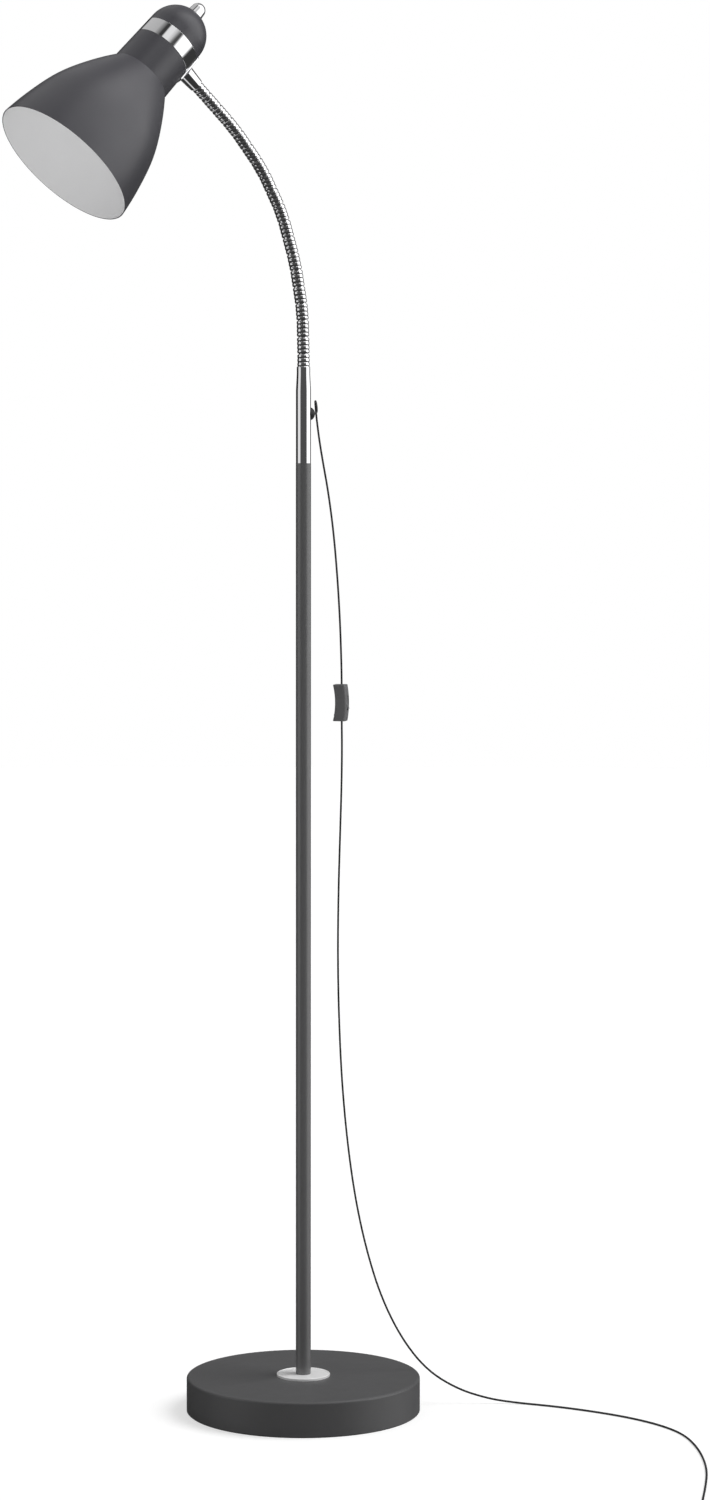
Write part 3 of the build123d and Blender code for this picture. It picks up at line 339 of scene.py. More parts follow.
def make_material(name, colour, shade, roughness, skin=None, marks_scale=30.0, **sockets):
    """Principled material: colour varies by the share shade, roughness between two values.

    skin is (scale, bump distance in metres, strength) of the surface's fine relief.
    """
    material = bpy.data.materials.new(name)
    material.use_nodes = True
    tree = material.node_tree
    link = tree.links.new
    shader = tree.nodes["Principled BSDF"]
    place = tree.nodes.new("ShaderNodeTexCoord").outputs["Object"]
    cloud = tree.nodes.new("ShaderNodeGroup")
    cloud.node_tree = HANDLING
    cloud.inputs["Scale"].default_value = marks_scale
    cloud.inputs["Low"].default_value = roughness[0]
    cloud.inputs["High"].default_value = roughness[1]
    link(place, cloud.inputs["Vector"])
    link(cloud.outputs["Value"], shader.inputs["Roughness"])
    tone = tree.nodes.new("ShaderNodeGroup")
    tone.node_tree = HANDLING
    tone.inputs["Scale"].default_value = marks_scale * TONE_RATIO
    tone.inputs["Low"].default_value = 0.0
    tone.inputs["High"].default_value = 1.0
    link(place, tone.inputs["Vector"])
    mix = tree.nodes.new("ShaderNodeMix")
    mix.data_type = "RGBA"
    mix.inputs[6].default_value = (*[c * (1 - shade) for c in colour], 1)
    mix.inputs[7].default_value = (*[c * (1 + shade) for c in colour], 1)
    link(tone.outputs["Value"], mix.inputs["Factor"])
    link(mix.outputs[2], shader.inputs["Base Color"])
    if skin:
        relief = tree.nodes.new("ShaderNodeGroup")
        relief.node_tree = SKIN
        relief.inputs["Scale"].default_value = skin[0]
        link(place, relief.inputs["Vector"])
        bump = tree.nodes.new("ShaderNodeBump")
        bump.inputs["Distance"].default_value = skin[1]
        bump.inputs["Strength"].default_value = skin[2]
        link(relief.outputs["Height"], bump.inputs["Height"])
        link(bump.outputs["Normal"], shader.inputs["Normal"])
    for label, value in sockets.items():
        shader.inputs[label.replace("_", " ")].default_value = value
    return material


# %% [markdown]
# ## Finishes
# There are three grey paints, each with a faint orange-peel skin: a dark cool one on the shade and
# its cap, a flatter one on the base, and on the pole a glossier copy of the shade's paint whose
# colour is made lighter, as painted light for the light that falls on the pole. The shade is white
# inside. The neck, tube, band, knob and joint are bright chrome plate, and the disc at the pole's
# foot is a softer satin silver. The rest are plastics, rubber and plain metals in their usual colours.

# %% Paints
grey_paint = make_material(
    "grey_paint", (0.056, 0.055, 0.064), shade=0.03, roughness=(0.36, 0.42),
    skin=(700.0, 0.00002, 0.25), Specular_IOR_Level=0.7,
)
# the shade's grey paint, glossier and with its colour made lighter: painted light on the pole
lit_pole_paint = make_material(
    "lit_pole_paint", (0.125, 0.125, 0.127), shade=0.03, roughness=(0.28, 0.34),
    skin=(700.0, 0.00002, 0.2), Specular_IOR_Level=0.8,
)
base_paint = make_material(
    "base_paint", (0.081, 0.081, 0.083), shade=0.03, roughness=(0.42, 0.48),
    skin=(700.0, 0.00002, 0.3),
)
white_enamel = make_material(
    "white_enamel", (0.88, 0.88, 0.885), shade=0.01, roughness=(0.32, 0.38),
    skin=(500.0, 0.00002, 0.2),
)

# %% Metals
chrome = make_material(
    "chrome", (0.80, 0.80, 0.81), shade=0.01, roughness=(0.03, 0.07),
    marks_scale=60.0, Metallic=1.0,
)
satin_silver = make_material(
    "satin_silver", (0.92, 0.92, 0.92), shade=0.02, roughness=(0.34, 0.42),
    marks_scale=80.0, Metallic=0.2,
)
zinc_steel = make_material(
    "zinc_steel", (0.55, 0.56, 0.58), shade=0.06, roughness=(0.28, 0.42),
    marks_scale=120.0, Metallic=1.0,
)
nickel_plate = make_material(
    "nickel_plate", (0.66, 0.63, 0.58), shade=0.03, roughness=(0.16, 0.24),
    marks_scale=120.0, Metallic=1.0,
)
brass = make_material(
    "brass", (0.78, 0.58, 0.27), shade=0.06, roughness=(0.25, 0.38),
    marks_scale=150.0, Metallic=1.0,
)

# %% Plastics, rubber, stone and glass
cord_pvc = make_material(
    "cord_pvc", (0.022, 0.022, 0.024), shade=0.05, roughness=(0.42, 0.50),
    skin=(1600.0, 0.00001, 0.3),
)
switch_plastic = make_material(
    "switch_plastic", (0.150, 0.150, 0.154), shade=0.03, roughness=(0.45, 0.55),
    skin=(3500.0, 0.00003, 0.5),
)
plug_plastic = make_material(
    "plug_plastic", (0.035, 0.035, 0.037), shade=0.04, roughness=(0.42, 0.52),
    skin=(2500.0, 0.00003, 0.5),
)
grommet_rubber = make_material(
    "grommet_rubber", (0.010, 0.010, 0.010), shade=0.1, roughness=(0.45, 0.55),
    skin=(2000.0, 0.00002, 0.4),
)
foot_rubber = make_material(
    "foot_rubber", (0.028, 0.028, 0.028), shade=0.1, roughness=(0.75, 0.9),
    skin=(1200.0, 0.00015, 0.6),
)
base_concrete = make_material(
    "base_concrete", (0.42, 0.41, 0.39), shade=0.15, roughness=(0.8, 0.95),
    skin=(300.0, 0.0006, 0.6),
)
holder_plastic = make_material(
    "holder_plastic", (0.62, 0.61, 0.58), shade=0.03, roughness=(0.30, 0.38),
    skin=(1500.0, 0.00002, 0.3),
)
bulb_plastic = make_material(
    "bulb_plastic", (0.82, 0.82, 0.81), shade=0.01, roughness=(0.35, 0.42),
    skin=(1500.0, 0.00001, 0.2),
)
bulb_glass = make_material(
    "bulb_glass", (0.88, 0.88, 0.87), shade=0.01, roughness=(0.28, 0.34), Coat_Weight=0.4,
)
print(f"{len(bpy.data.materials)} materials")

# %% Finish of every carried-over solid
SLOT_FINISH = {
    "grey_paint": grey_paint, "base_paint": base_paint, "chrome_plate": chrome,
    "satin_silver": satin_silver, "zinc_steel": zinc_steel, "base_concrete": base_concrete,
    "foot_rubber": foot_rubber, "grommet_rubber": grommet_rubber, "cord_pvc": cord_pvc,
    "switch_plastic": switch_plastic, "plug_plastic": plug_plastic, "contact_brass": brass,
    "nickel_plate": nickel_plate, "holder_plastic": holder_plastic, "bulb_glass": bulb_glass,
    "bulb_plastic": bulb_plastic,
}


def give_finish(piece, material):
    """One material all over a piece."""
    piece.data.materials.clear()
    piece.data.materials.append(material)


for part in frame["record"]["subparts"]:
    give_finish(NODES[part["node"]], SLOT_FINISH[part["material_slot"]])
# the pole takes the lighter copy of the shade's paint, painted light for how the pole is lit
for node in ("pole_lower", "pole_upper"):
    give_finish(NODES[node], lit_pole_paint)
give_finish(power_cord, cord_pvc)

# %% [markdown]
# ## Spinning a profile
# Nearly every piece of this lamp is round, so one helper makes them all: a few vertices in the XZ
# plane are joined by edges and spun about Z, the poles and the seam are merged, and the result is
# moved into place by a matrix. Sharp edges stay sharp in the shading, and soft ones are smoothed.
# The normals are weighted by face area, so that a narrow rounded edge doesn't bend the reflections
# in the wide face beside it.

# %% Spin helper
SEGMENTS = 96
SHARP_ANGLE = radians(32)
OFF_AXIS = 0.001  # a profile's end is on the axis up to this radius, in millimetres
MERGE_DISTANCE = 1e-6


def arc(start, middle, end, steps=8):
    """Profile points on the circle through three points, after start and up to end."""
    (ax, ay), (bx, by), (cx, cy) = start, middle, end
    d = 2 * (ax * (by - cy) + bx * (cy - ay) + cx * (ay - by))
    a2, b2, c2 = ax**2 + ay**2, bx**2 + by**2, cx**2 + cy**2
    ux = (a2 * (by - cy) + b2 * (cy - ay) + c2 * (ay - by)) / d
    uy = (a2 * (cx - bx) + b2 * (ax - cx) + c2 * (bx - ax)) / d
    radius = sqrt((ax - ux) ** 2 + (ay - uy) ** 2)
    first = atan2(ay - uy, ax - ux)
    halfway = (atan2(by - uy, bx - ux) - first + pi) % (2 * pi) - pi
    turn = (atan2(cy - uy, cx - ux) - first) % (2 * pi)
    if halfway < 0:
        turn -= 2 * pi
    angles = [first + turn * (i + 1) / steps for i in range(steps)]
    return [(ux + radius * cos(a), uy + radius * sin(a)) for a in angles]


def spun_mesh(profile, segments=SEGMENTS):
    """Closed solid of revolution about Z, from (radius, height) points in millimetres.

    A profile that starts and ends on the axis is closed by its two poles.
    """
    mesh = bmesh.new()
    verts = [mesh.verts.new((r * MM, 0, z * MM)) for r, z in profile]
    edges = [mesh.edges.new(pair) for pair in zip(verts, verts[1:])]
    if max(profile[0][0], profile[-1][0]) > OFF_AXIS:
        edges.append(mesh.edges.new((verts[-1], verts[0])))
    bmesh.ops.spin(
        mesh, geom=verts + edges, cent=(0, 0, 0), axis=(0, 0, 1), dvec=(0, 0, 0),
        angle=2 * pi, steps=segments, use_merge=True, use_duplicate=False,
    )
    bmesh.ops.remove_doubles(mesh, verts=mesh.verts, dist=MERGE_DISTANCE)
    bmesh.ops.recalc_face_normals(mesh, faces=mesh.faces)
    return mesh


def finish_piece(mesh, name, material, body, place, stands_for=(), lining=None):
    """Puts a bmesh into the scene as a piece: placed, shaded, dressed and riding on its body.

    The faces that look towards the axis take the material lining, if one is given.
    """
    if lining:
        for face in mesh.faces:
            middle = face.calc_center_median()
            face.material_index = int(face.normal.dot((middle.x, middle.y, 0)) < 0)
    bmesh.ops.transform(mesh, matrix=place, verts=mesh.verts)
    data = bpy.data.meshes.new(name)
    mesh.to_mesh(data)
    mesh.free()
    data.shade_smooth()
    data.set_sharp_from_angle(angle=SHARP_ANGLE)
    piece = bpy.data.objects.new(name, data)
    bpy.context.scene.collection.objects.link(piece)
    normals = piece.modifiers.new("weighted_normals", "WEIGHTED_NORMAL")
    normals.keep_sharp = True
    for finish in (material, lining) if lining else (material,):
        piece.data.materials.append(finish)
    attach(piece, body)
    if stands_for:
        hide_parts(*stands_for)
    return piece


# %% [markdown]
# ## Where the neck's links are
# The joints already say where each link turns. A link's axis runs from its own pivot to the next
# one, so its place is a matrix with that axis as Z and the lamp's side as Y.

# %% Link frames
PIVOTS = [joint for name, joint in JOINTS.items() if name.startswith("neck_")]
PIVOTS.sort(key=lambda joint: joint["name"][-2:])
SWIVEL = JOINTS["head_swivel"]


def frame_matrix(origin, z_axis):
    """Matrix with Z along z_axis and Y along the lamp's own Y."""
    z = Vector(z_axis).normalized()
    y = Vector((0, 1, 0))
    x = y.cross(z).normalized()
    matrix = Matrix((x, y, z)).transposed().to_4x4()
    matrix.translation = Vector(origin)
    return matrix


def pivot_frames():
    """One matrix for each pivot of the neck, in order."""
    places = [Vector(joint["pos_m"]) for joint in PIVOTS] + [Vector(SWIVEL["pos_m"])]
    return [frame_matrix(a, b - a) for a, b in zip(places, places[1:])]


LINK_FRAMES = pivot_frames()
print(f"{len(LINK_FRAMES)} pivots, the first {LINK_FRAMES[0].translation.z:.4f} m up")

# %% [markdown]
# ## The flexible neck
# A real gooseneck is wound from two wires, so it is an endless row of small rounded ridges. Each
# link repeats four of them, with the ball below and the cup above hidden inside. The profile of
# one link is spun once for each place, because each rides on its own body.

# %% Neck links
RIDGE_R, GROOVE_R, RIDGE_PITCH, RIDGES = 6.5, 6.0, 4.4, 4
LINK_LENGTH = RIDGE_PITCH * RIDGES
LIP_HEIGHT, LINK_START, BALL_R, BALL_CUT = 0.5, 1.9, 5.2, 3.0
CUP_R, CUP_DEPTH, NECK_BORE_R = 5.5, 4.2, 2.0
FIRST_RIDGE_SHORT = 0.7
ROOT_LENGTH, SPIGOT_LENGTH, SPIGOT_R = 12.0, 16.0, 6.2
END_LENGTH = 24.2
HOSE_SEGMENTS = 64


def ridges(low, high, shorter, over):
    """Profile of the ridges from low to high, the first one shorter and the last one longer."""
    edges = [low]
    edge = low + RIDGE_PITCH - shorter
    while edge < high - RIDGE_PITCH / 2:
        edges.append(edge)
        edge += RIDGE_PITCH
    edges.append(high + over)
    points = [(GROOVE_R, low)]
    for a, b in zip(edges, edges[1:]):
        points += arc(points[-1], (RIDGE_R, (a + b) / 2), (GROOVE_R, b))
    return points


def on_sphere(radius, z):
    return sqrt(radius**2 - z**2), z


def ball():
    """Ball from its flat underside up to the link."""
    underside = on_sphere(BALL_R, -BALL_CUT)
    return [underside] + arc(underside, (BALL_R, 0), on_sphere(BALL_R, LINK_START))


def cup(pivot):
    """Cup from its lip down to its floor and to the bore."""
    lip = on_sphere(CUP_R, LIP_HEIGHT)
    middle = on_sphere(CUP_R, -CUP_DEPTH / 2)
    floor = on_sphere(CUP_R, -CUP_DEPTH)
    points = [lip] + arc(lip, middle, floor, steps=6)
    return [(r, z + pivot) for r, z in points] + [(NECK_BORE_R, pivot - CUP_DEPTH)]


def link_profile():
    body = ridges(LINK_START, LINK_LENGTH, FIRST_RIDGE_SHORT, LIP_HEIGHT)
    return [(NECK_BORE_R, -BALL_CUT)] + ball() + body + cup(LINK_LENGTH)


def root_profile():
    """Fixed end of the neck, from its spigot in the tube to the first cup."""
    foot = -ROOT_LENGTH - SPIGOT_LENGTH
    spigot = [(NECK_BORE_R, foot), (SPIGOT_R, foot), (SPIGOT_R, -ROOT_LENGTH)]
    return spigot + ridges(-ROOT_LENGTH, 0, 0, LIP_HEIGHT) + cup(0)


def end_profile():
    """Last link, from its ball to its plain end in the ferrule."""
    body = ridges(LINK_START, LINK_START + LINK_LENGTH - FIRST_RIDGE_SHORT, FIRST_RIDGE_SHORT, 0)
    plain_end = [(GROOVE_R, END_LENGTH), (NECK_BORE_R, END_LENGTH)]
    return [(NECK_BORE_R, -BALL_CUT)] + ball() + body + plain_end


def hose_piece(profile, name, body, place, node):
    finish_piece(
        spun_mesh(profile, HOSE_SEGMENTS), name, chrome, body, place,
        stands_for=[node],
    )


for number, place in enumerate(LINK_FRAMES[:-1], 1):
    body = f"link_{number:02d}"
    hose_piece(link_profile(), f"hose_{body}", body, place, f"neck_{body}")
root_place = Matrix.Translation(LINK_FRAMES[0].translation)
hose_piece(root_profile(), "hose_root", "stand", root_place, "neck_root")
hose_piece(end_profile(), "hose_end", "neck_tip", LINK_FRAMES[-1], "neck_end")
print(f"{len(LINK_FRAMES) - 1} links of {RIDGES} ridges, and the neck's two ends")

# %% [markdown]
# ## The lead inside the neck
# The cord runs on inside the tube and the neck. One solid can't bend with the links, so short
# lengths of lead take its place, one for each link, with round ends that almost meet at the
# pivots.

# %% Inner lead
LEAD_R = CORD_RADIUS / MM
LEAD_SEGMENTS = 20
LEAD_IN_GROMMET = 0.0008  # from the tube's axis, in metres
GAP_AFTER_PIVOT, GAP_BEFORE_PIVOT = 0.6, 1.5  # to a length's straight part, in lead radii


def lead_length(name, body, start, end):
    """Straight length of lead with round ends, between two places."""
    reach = (end - start).length / MM
    dome = LEAD_R * sqrt(0.5)
    profile = [(0, -LEAD_R)] + arc((0, -LEAD_R), (dome, -dome), (LEAD_R, 0), steps=4)
    profile += [(LEAD_R, reach)]
    profile += arc((LEAD_R, reach), (dome, reach + dome), (0, reach + LEAD_R), steps=4)
    place = frame_matrix(start, end - start)
    return finish_piece(
        spun_mesh(profile, LEAD_SEGMENTS), name, cord_pvc, body, place,
    )


def make_inner_lead():
    """Lead from the grommet to the swivel, a length on every body that it passes through."""
    exit_place = Vector(CORD_UPPER_ROUTE[0])
    turn = Vector((0, 0, exit_place.z))
    places = [turn] + [m.translation.copy() for m in LINK_FRAMES] + [Vector(SWIVEL["pos_m"])]
    bodies = ["stand"] + [f"link_{n:02d}" for n in range(1, len(LINK_FRAMES))] + ["neck_tip"]
    inward = exit_place - Vector((2 * CORD_RADIUS, 0, 0))
    in_tube = Vector((LEAD_IN_GROMMET, 0, exit_place.z))
    first = lead_length("lead_in_grommet", "stand", in_tube, inward)
    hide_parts("neck_lead")
    for body, start, end in zip(bodies, places, places[1:]):
        ahead = (end - start).normalized() * CORD_RADIUS
        low, high = start + ahead * GAP_AFTER_PIVOT, end - ahead * GAP_BEFORE_PIVOT
        lead_length(f"lead_in_{body}", body, low, high)


make_inner_lead()

# %% [markdown]
# ## The head
# Every piece of the head is round about one axis, 44 degrees from upright. Heights are measured
# along that axis from the plane of the opening. The bell is a smooth curve through five measured
# radii; from the crease on, shade, band and cap narrow together by 1.5 degrees and end in a dome.
# The shade is grey outside and on its rim, and white inside.

# %% Head profiles
OPENING_CENTRE = Vector((-0.283803, 0, 1.314977))
HEAD_LEAN = radians(44)
HEAD_PLACE = frame_matrix(OPENING_CENTRE, (sin(HEAD_LEAN), 0, cos(HEAD_LEAN)))
BELL_POINTS = [(78.4, 0), (73.3, 33.0), (64.8, 66.0), (50.1, 98.0), (33.1, 126.0)]
CREASE_R, CREASE_S = BELL_POINTS[-1]
HEAD_TAPER = radians(1.5)
BAND_FROM, BAND_TO, DOME_S, INNER_TO = 162.5, 180.5, 187.8, 186.5
SHELL_WALL, BELL_WALL, INNER_R = 0.9, 0.99, 30.2
FIT, STEM_R, FLAT_R = 0.05, 5.0, 9.0
KNOB_FOOT_R, KNOB_R, KNOB_HEIGHT, KNOB_HOLE = 8.6, 7.8, 15.2, 9.0
BAND_EDGE, BAND_EDGE_SHARE = 0.35, 0.3  # rounded edge, and how far its middle is cut back
CAP_STEP, CAP_INSIDE_SHARE = 0.1, 0.994  # wall under the flat, and how full the inside is
KNOB_EDGE = 0.3
HEAD_SEGMENTS = 160


def outer_r(s):
    """Outer radius of the head beyond the crease."""
    return CREASE_R - (s - CREASE_S) * tan(HEAD_TAPER)


def smooth_curve(points, steps=10):
    """Smooth curve through the points, without the first, from each one's neighbours."""
    places = [Vector(point) for point in points]
    gaps = [(b - a).length for a, b in zip(places, places[1:])]
    slopes = [(b - a) / gap for a, b, gap in zip(places, places[1:], gaps)]
    tangents = [
        (s0 * g1 + s1 * g0) / (g0 + g1)
        for s0, s1, g0, g1 in zip(slopes, slopes[1:], gaps, gaps[1:])
    ]
    tangents = [2 * slopes[0] - tangents[0], *tangents, 2 * slopes[-1] - tangents[-1]]
    curve = []
    for a, b, ta, tb, gap in zip(places, places[1:], tangents, tangents[1:], gaps):
        for i in range(1, steps + 1):
            t = i / steps
            curve.append(tuple(
                a * (2 * t**3 - 3 * t**2 + 1) + ta * gap * (t**3 - 2 * t**2 + t)
                + b * (3 * t**2 - 2 * t**3) + tb * gap * (t**3 - t**2)
            ))
    return curve


def shade_profile():
    """Rim, bell and neck outside, the narrower end inside band and cap, and back down inside."""
    bell = [BELL_POINTS[0]] + smooth_curve(BELL_POINTS)
    lining = [(r - BELL_WALL, s) for r, s in reversed(bell)]
    neck = [(outer_r(BAND_FROM), BAND_FROM), (INNER_R, BAND_FROM), (INNER_R, INNER_TO)]
    inside = [(INNER_R - SHELL_WALL, INNER_TO), (INNER_R - SHELL_WALL, BAND_FROM - SHELL_WALL)]
    return bell + neck + inside + lining


def band_profile():
    """Sleeve round the neck of the shade, with both outer edges rounded."""
    low, high, cut = BAND_FROM + FIT, BAND_TO - FIT, BAND_EDGE * BAND_EDGE_SHARE
    rounded = [(outer_r(low) - BAND_EDGE, low), (outer_r(low) - cut, low + cut)]
    rounded += [(outer_r(low), low + BAND_EDGE), (outer_r(high), high - BAND_EDGE)]
    rounded += [(outer_r(high) - cut, high - cut), (outer_r(high) - BAND_EDGE, high)]
    return [(INNER_R + FIT, low), *rounded, (INNER_R + FIT, high)]


CAP_R = outer_r(DOME_S)
CAP_TOP = DOME_S + sqrt(CAP_R**2 - FLAT_R**2)


def cap_profile():
    """Straight wall, dome and the flat that the knob stands on, with the same wall inside."""
    inner_r, inner_top = INNER_R + FIT, CAP_TOP - SHELL_WALL
    dome_mid = CAP_R * sqrt(0.5)
    inner_mid = inner_r * sqrt(0.5)
    outside = [(outer_r(BAND_TO), BAND_TO), (CAP_R, DOME_S)]
    outside += arc((CAP_R, DOME_S), (dome_mid, DOME_S + dome_mid), (FLAT_R, CAP_TOP), steps=16)
    under_flat = (FLAT_R, inner_top - CAP_STEP)
    hole = [(STEM_R + FIT, CAP_TOP), (STEM_R + FIT, inner_top), under_flat]
    middle = (inner_mid, DOME_S + inner_mid * CAP_INSIDE_SHARE)
    inside = arc(under_flat, middle, (inner_r, DOME_S), steps=16)
    return [(inner_r, BAND_TO), *outside, *hole, *inside]


def knob_profile():
    """Knob with a foot, a slightly tapering side and a round top, and a blind hole."""
    top, hole_top = CAP_TOP + KNOB_HEIGHT, CAP_TOP + KNOB_HOLE
    waist = (KNOB_R, top - KNOB_R)
    shoulder = (KNOB_R * sqrt(0.5), top - KNOB_R * (1 - sqrt(0.5)))
    foot = [(STEM_R + FIT, CAP_TOP), (KNOB_FOOT_R - KNOB_EDGE, CAP_TOP)]
    foot += [(KNOB_FOOT_R, CAP_TOP + KNOB_EDGE), waist]
    crown = arc(waist, shoulder, (0, top), steps=12)
    return [(0, hole_top), (STEM_R + FIT, hole_top), *foot, *crown]


# %% Head pieces
def head_piece(profile, node, material, lining=None):
    finish_piece(
        spun_mesh(profile, HEAD_SEGMENTS), f"{node}_skin", material, "head", HEAD_PLACE,
        stands_for=[node], lining=lining,
    )


head_piece(shade_profile(), "shade", grey_paint, lining=white_enamel)
head_piece(band_profile(), "shade_band", chrome)
head_piece(cap_profile(), "shade_cap", grey_paint)
head_piece(knob_profile(), "cap_knob", chrome)

# %% Ferrule
FERRULE_FROM, FERRULE_LENGTH = 15.8, 18.3
FERRULE_NECK_R, FERRULE_HEAD_R, FERRULE_EDGE = 7.35, 8.75, 0.6
RIDGE_GRIP, END_GRIP = 4.2, 8.4  # depth of the bore over the ridges, and over the plain end


def ferrule_profile():
    """Sleeve over the neck's end, wider at the head, with a rounded edge at both ends."""
    low, high = FERRULE_FROM, FERRULE_FROM + FERRULE_LENGTH
    mouth, half = RIDGE_R + FIT, FERRULE_EDGE / 2
    outside = [(FERRULE_NECK_R - half, low), (FERRULE_NECK_R, low + half)]
    wide = (FERRULE_HEAD_R, high - FERRULE_EDGE)
    share = 1 - sqrt(0.5)
    corner = (FERRULE_HEAD_R - FERRULE_EDGE * share, high - FERRULE_EDGE * share)
    outside += [wide, *arc(wide, corner, (FERRULE_HEAD_R - FERRULE_EDGE, high), steps=4)]
    inside = [(STEM_R + FIT, high), (STEM_R + FIT, low + END_GRIP)]
    inside += [(GROOVE_R + FIT, low + END_GRIP), (GROOVE_R + FIT, low + RIDGE_GRIP)]
    return [(mouth, low), *outside, *inside, (mouth, low + RIDGE_GRIP)]


finish_piece(
    spun_mesh(ferrule_profile()), "ferrule_skin", chrome, "neck_tip", LINK_FRAMES[-1],
    stands_for=["neck_ferrule"],
)
print(f"head: cap's top {CAP_TOP:.2f} mm from the opening")

# %% [markdown]
# ## The studio
# The lamp stands on white paper in an even white room. Chrome shows what surrounds it, so the
# world that only reflections see has the studio in it, as four rings of brightness one above the
# other: a dark side behind the camera, a soft box on the left and a stronger one on the right, and
# others of the same kind above and below. Matt surfaces see a plain even light. A broad sun gives
# the soft shadow under the base, and a spot lights the inside of the shade.

# %% Floor
FLOOR_RADIUS = 9.0
FLOOR_GLOW = 0.55
FLOOR_COLOUR = (0.50, 0.50, 0.50, 1)


def make_floor():
    mesh = bmesh.new()
    bmesh.ops.create_circle(mesh, cap_ends=True, segments=SEGMENTS, radius=FLOOR_RADIUS)
    data = bpy.data.meshes.new("floor")
    mesh.to_mesh(data)
    mesh.free()
    floor = bpy.data.objects.new("floor", data)
    bpy.context.scene.collection.objects.link(floor)
    material = bpy.data.materials.new("floor_paper")
    material.use_nodes = True
    tree = material.node_tree
    tree.nodes.remove(tree.nodes["Principled BSDF"])
    paper = tree.nodes.new("ShaderNodeBsdfDiffuse")
    paper.inputs["Color"].default_value = FLOOR_COLOUR
    glow = tree.nodes.new("ShaderNodeEmission")
    rays = tree.nodes.new("ShaderNodeLightPath")
    seen = tree.nodes.new("ShaderNodeMath")
    seen.operation = "MULTIPLY"
    seen.inputs[1].default_value = FLOOR_GLOW
    total = tree.nodes.new("ShaderNodeAddShader")
    link = tree.links.new
    link(rays.outputs["Is Camera Ray"], seen.inputs[0])
    link(seen.outputs[0], glow.inputs["Strength"])
    link(paper.outputs[0], total.inputs[0])
    link(glow.outputs[0], total.inputs[1])
    link(total.outputs[0], tree.nodes["Material Output"].inputs["Surface"])
    data.materials.append(material)
    floor.visible_glossy = False


make_floor()

# %% World: white for the camera, a studio for reflections, even light for the rest
CAMERA_AZIMUTH = atan2(CAMERA_PLACE[1], CAMERA_PLACE[0])
EVEN_LIGHT = 0.48
LEVEL_RING = (  # degrees to the right of the camera as seen from the lamp, brightness
    (-180, 0.02), (-98, 0.02), (-92, 0.90), (-52, 0.90), (-46, 0.085),
    (50, 0.085), (56, 1.60), (116, 1.60), (124, 0.15), (180, 0.08),
)
UPPER_RING = (
    (-180, 0.60), (-60, 0.50), (-20, 0.20), (-8, 0.05), (6, 0.05), (12, 0.90),
    (28, 0.90), (40, 0.50), (58, 1.60), (116, 1.60), (126, 0.20), (180, 0.30),
)
LOWER_RING = (
    (-180, 0.60), (-160, 0.60), (-150, 0.04), (82, 0.04),
    (94, 0.80), (124, 0.80), (134, 0.50), (180, 0.60),
)
DEEP_RING = (
    (-180, 0.60), (-158, 0.60), (-148, 0.04), (-96, 0.04), (-84, 0.80), (-36, 0.80),
    (-28, 0.04), (82, 0.04), (94, 0.80), (124, 0.80), (134, 0.50), (180, 0.60),
)
LOW_LIGHT = 0.045  # all round, between the lower and the level ring
LAYERS = (  # what follows upwards on the deep ring, and the elevations where it takes over
    (LOWER_RING, -56, -48),
    (LOW_LIGHT, -27, -21),
    (LEVEL_RING, -14, -8),
    (UPPER_RING, 26, 36),
)


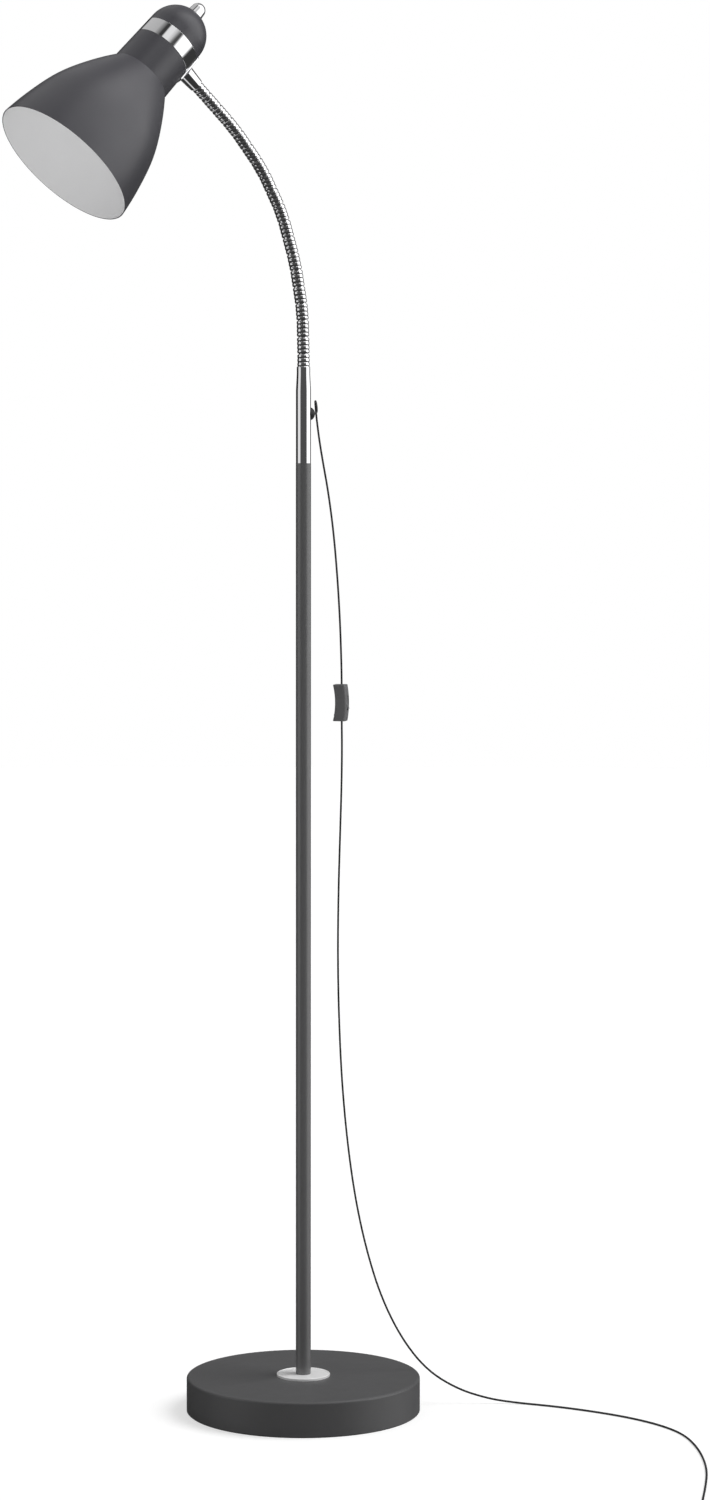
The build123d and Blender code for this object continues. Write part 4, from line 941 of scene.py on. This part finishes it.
def make_world():
    """White for the camera, the rings for reflections and an even light for the rest."""
    world = bpy.data.worlds.new("studio")
    bpy.context.scene.world = world
    world.use_nodes = True
    tree = world.node_tree
    tree.nodes.clear()
    link = tree.links.new

    def math(operation, a, b):
        node = tree.nodes.new("ShaderNodeMath")
        node.operation = operation
        for socket, value in zip(node.inputs, (a, b)):
            if isinstance(value, float):
                socket.default_value = value
            else:
                link(value, socket)
        return node.outputs[0]

    direction = tree.nodes.new("ShaderNodeTexCoord").outputs["Generated"]
    turned = tree.nodes.new("ShaderNodeVectorRotate")
    turned.rotation_type = "Z_AXIS"
    turned.inputs["Angle"].default_value = -CAMERA_AZIMUTH
    link(direction, turned.inputs["Vector"])
    parts = tree.nodes.new("ShaderNodeSeparateXYZ")
    link(turned.outputs[0], parts.inputs[0])
    azimuth = math("ARCTAN2", parts.outputs["Y"], parts.outputs["X"])
    around = math("ADD", math("DIVIDE", azimuth, 2 * pi), 0.5)

    def ring(levels):
        """Brightness by azimuth, from (degrees, brightness) pairs."""
        ramp = tree.nodes.new("ShaderNodeValToRGB")
        stops = ramp.color_ramp.elements
        stops.remove(stops[1])
        stops[0].position = 0.0
        stops[0].color = (*[levels[0][1]] * 3, 1)
        for angle, level in levels[1:]:
            stops.new(angle / 360 + 0.5).color = (level, level, level, 1)
        link(around, ramp.inputs["Fac"])
        return ramp.outputs["Color"]

    def rise(below, above, start, end):
        """Goes over from below to above between two elevations in degrees."""
        share = tree.nodes.new("ShaderNodeMapRange")
        share.interpolation_type = "SMOOTHSTEP"
        share.inputs["From Min"].default_value = sin(radians(start))
        share.inputs["From Max"].default_value = sin(radians(end))
        link(parts.outputs["Z"], share.inputs["Value"])
        mix = tree.nodes.new("ShaderNodeMix")
        mix.data_type = "RGBA"
        link(share.outputs["Result"], mix.inputs["Factor"])
        for socket, value in ((mix.inputs[6], below), (mix.inputs[7], above)):
            if isinstance(value, float):
                socket.default_value = (value, value, value, 1)
            else:
                link(value, socket)
        return mix.outputs[2]

    mirror_light = ring(DEEP_RING)
    for layer, start, end in LAYERS:
        above = layer if isinstance(layer, float) else ring(layer)
        mirror_light = rise(mirror_light, above, start, end)

    rays = tree.nodes.new("ShaderNodeLightPath")
    even = tree.nodes.new("ShaderNodeBackground")
    even.inputs["Strength"].default_value = EVEN_LIGHT
    mirrored = tree.nodes.new("ShaderNodeBackground")
    link(mirror_light, mirrored.inputs["Color"])
    white = tree.nodes.new("ShaderNodeBackground")
    for background in (even, white):
        background.inputs["Color"].default_value = (1, 1, 1, 1)
    reflect = tree.nodes.new("ShaderNodeMixShader")
    link(rays.outputs["Is Glossy Ray"], reflect.inputs[0])
    link(even.outputs[0], reflect.inputs[1])
    link(mirrored.outputs[0], reflect.inputs[2])
    show = tree.nodes.new("ShaderNodeMixShader")
    seen = math("MAXIMUM", rays.outputs["Is Camera Ray"], rays.outputs["Is Transmission Ray"])
    link(seen, show.inputs[0])
    link(reflect.outputs[0], show.inputs[1])
    link(white.outputs[0], show.inputs[2])
    output = tree.nodes.new("ShaderNodeOutputWorld")
    link(show.outputs[0], output.inputs["Surface"])


make_world()

# %% Key light, and a fill light into the shade
SUN_STRENGTH = 2.0
SUN_SOFTNESS = radians(35)
SUN_FROM = Vector((0.55, -0.35, 1.0))
FILL_POWER = 28.0
FILL_PLACE = Vector((-1.20, -0.50, 0.35))
FILL_ANGLE = radians(20)
FILL_BLEND = 0.6
FILL_SIZE = 0.15


def add_light(name, kind, energy, back, **settings):
    """Light that shines away from the direction back. Mirrors don't show it."""
    data = bpy.data.lights.new(name, kind)
    data.energy = energy
    for label, value in settings.items():
        setattr(data, label, value)
    light = bpy.data.objects.new(name, data)
    light.rotation_euler = back.to_track_quat("Z", "Y").to_euler()
    light.visible_glossy = False
    bpy.context.scene.collection.objects.link(light)
    return light


add_light("key_light", "SUN", SUN_STRENGTH, SUN_FROM, angle=SUN_SOFTNESS)
fill_light = add_light(
    "fill_light", "SPOT", FILL_POWER, FILL_PLACE - OPENING_CENTRE,
    spot_size=FILL_ANGLE, spot_blend=FILL_BLEND, shadow_soft_size=FILL_SIZE,
)
fill_light.location = FILL_PLACE
bpy.context.scene.view_settings.view_transform = "Standard"

# %% Update the scene
bpy.context.view_layer.update()
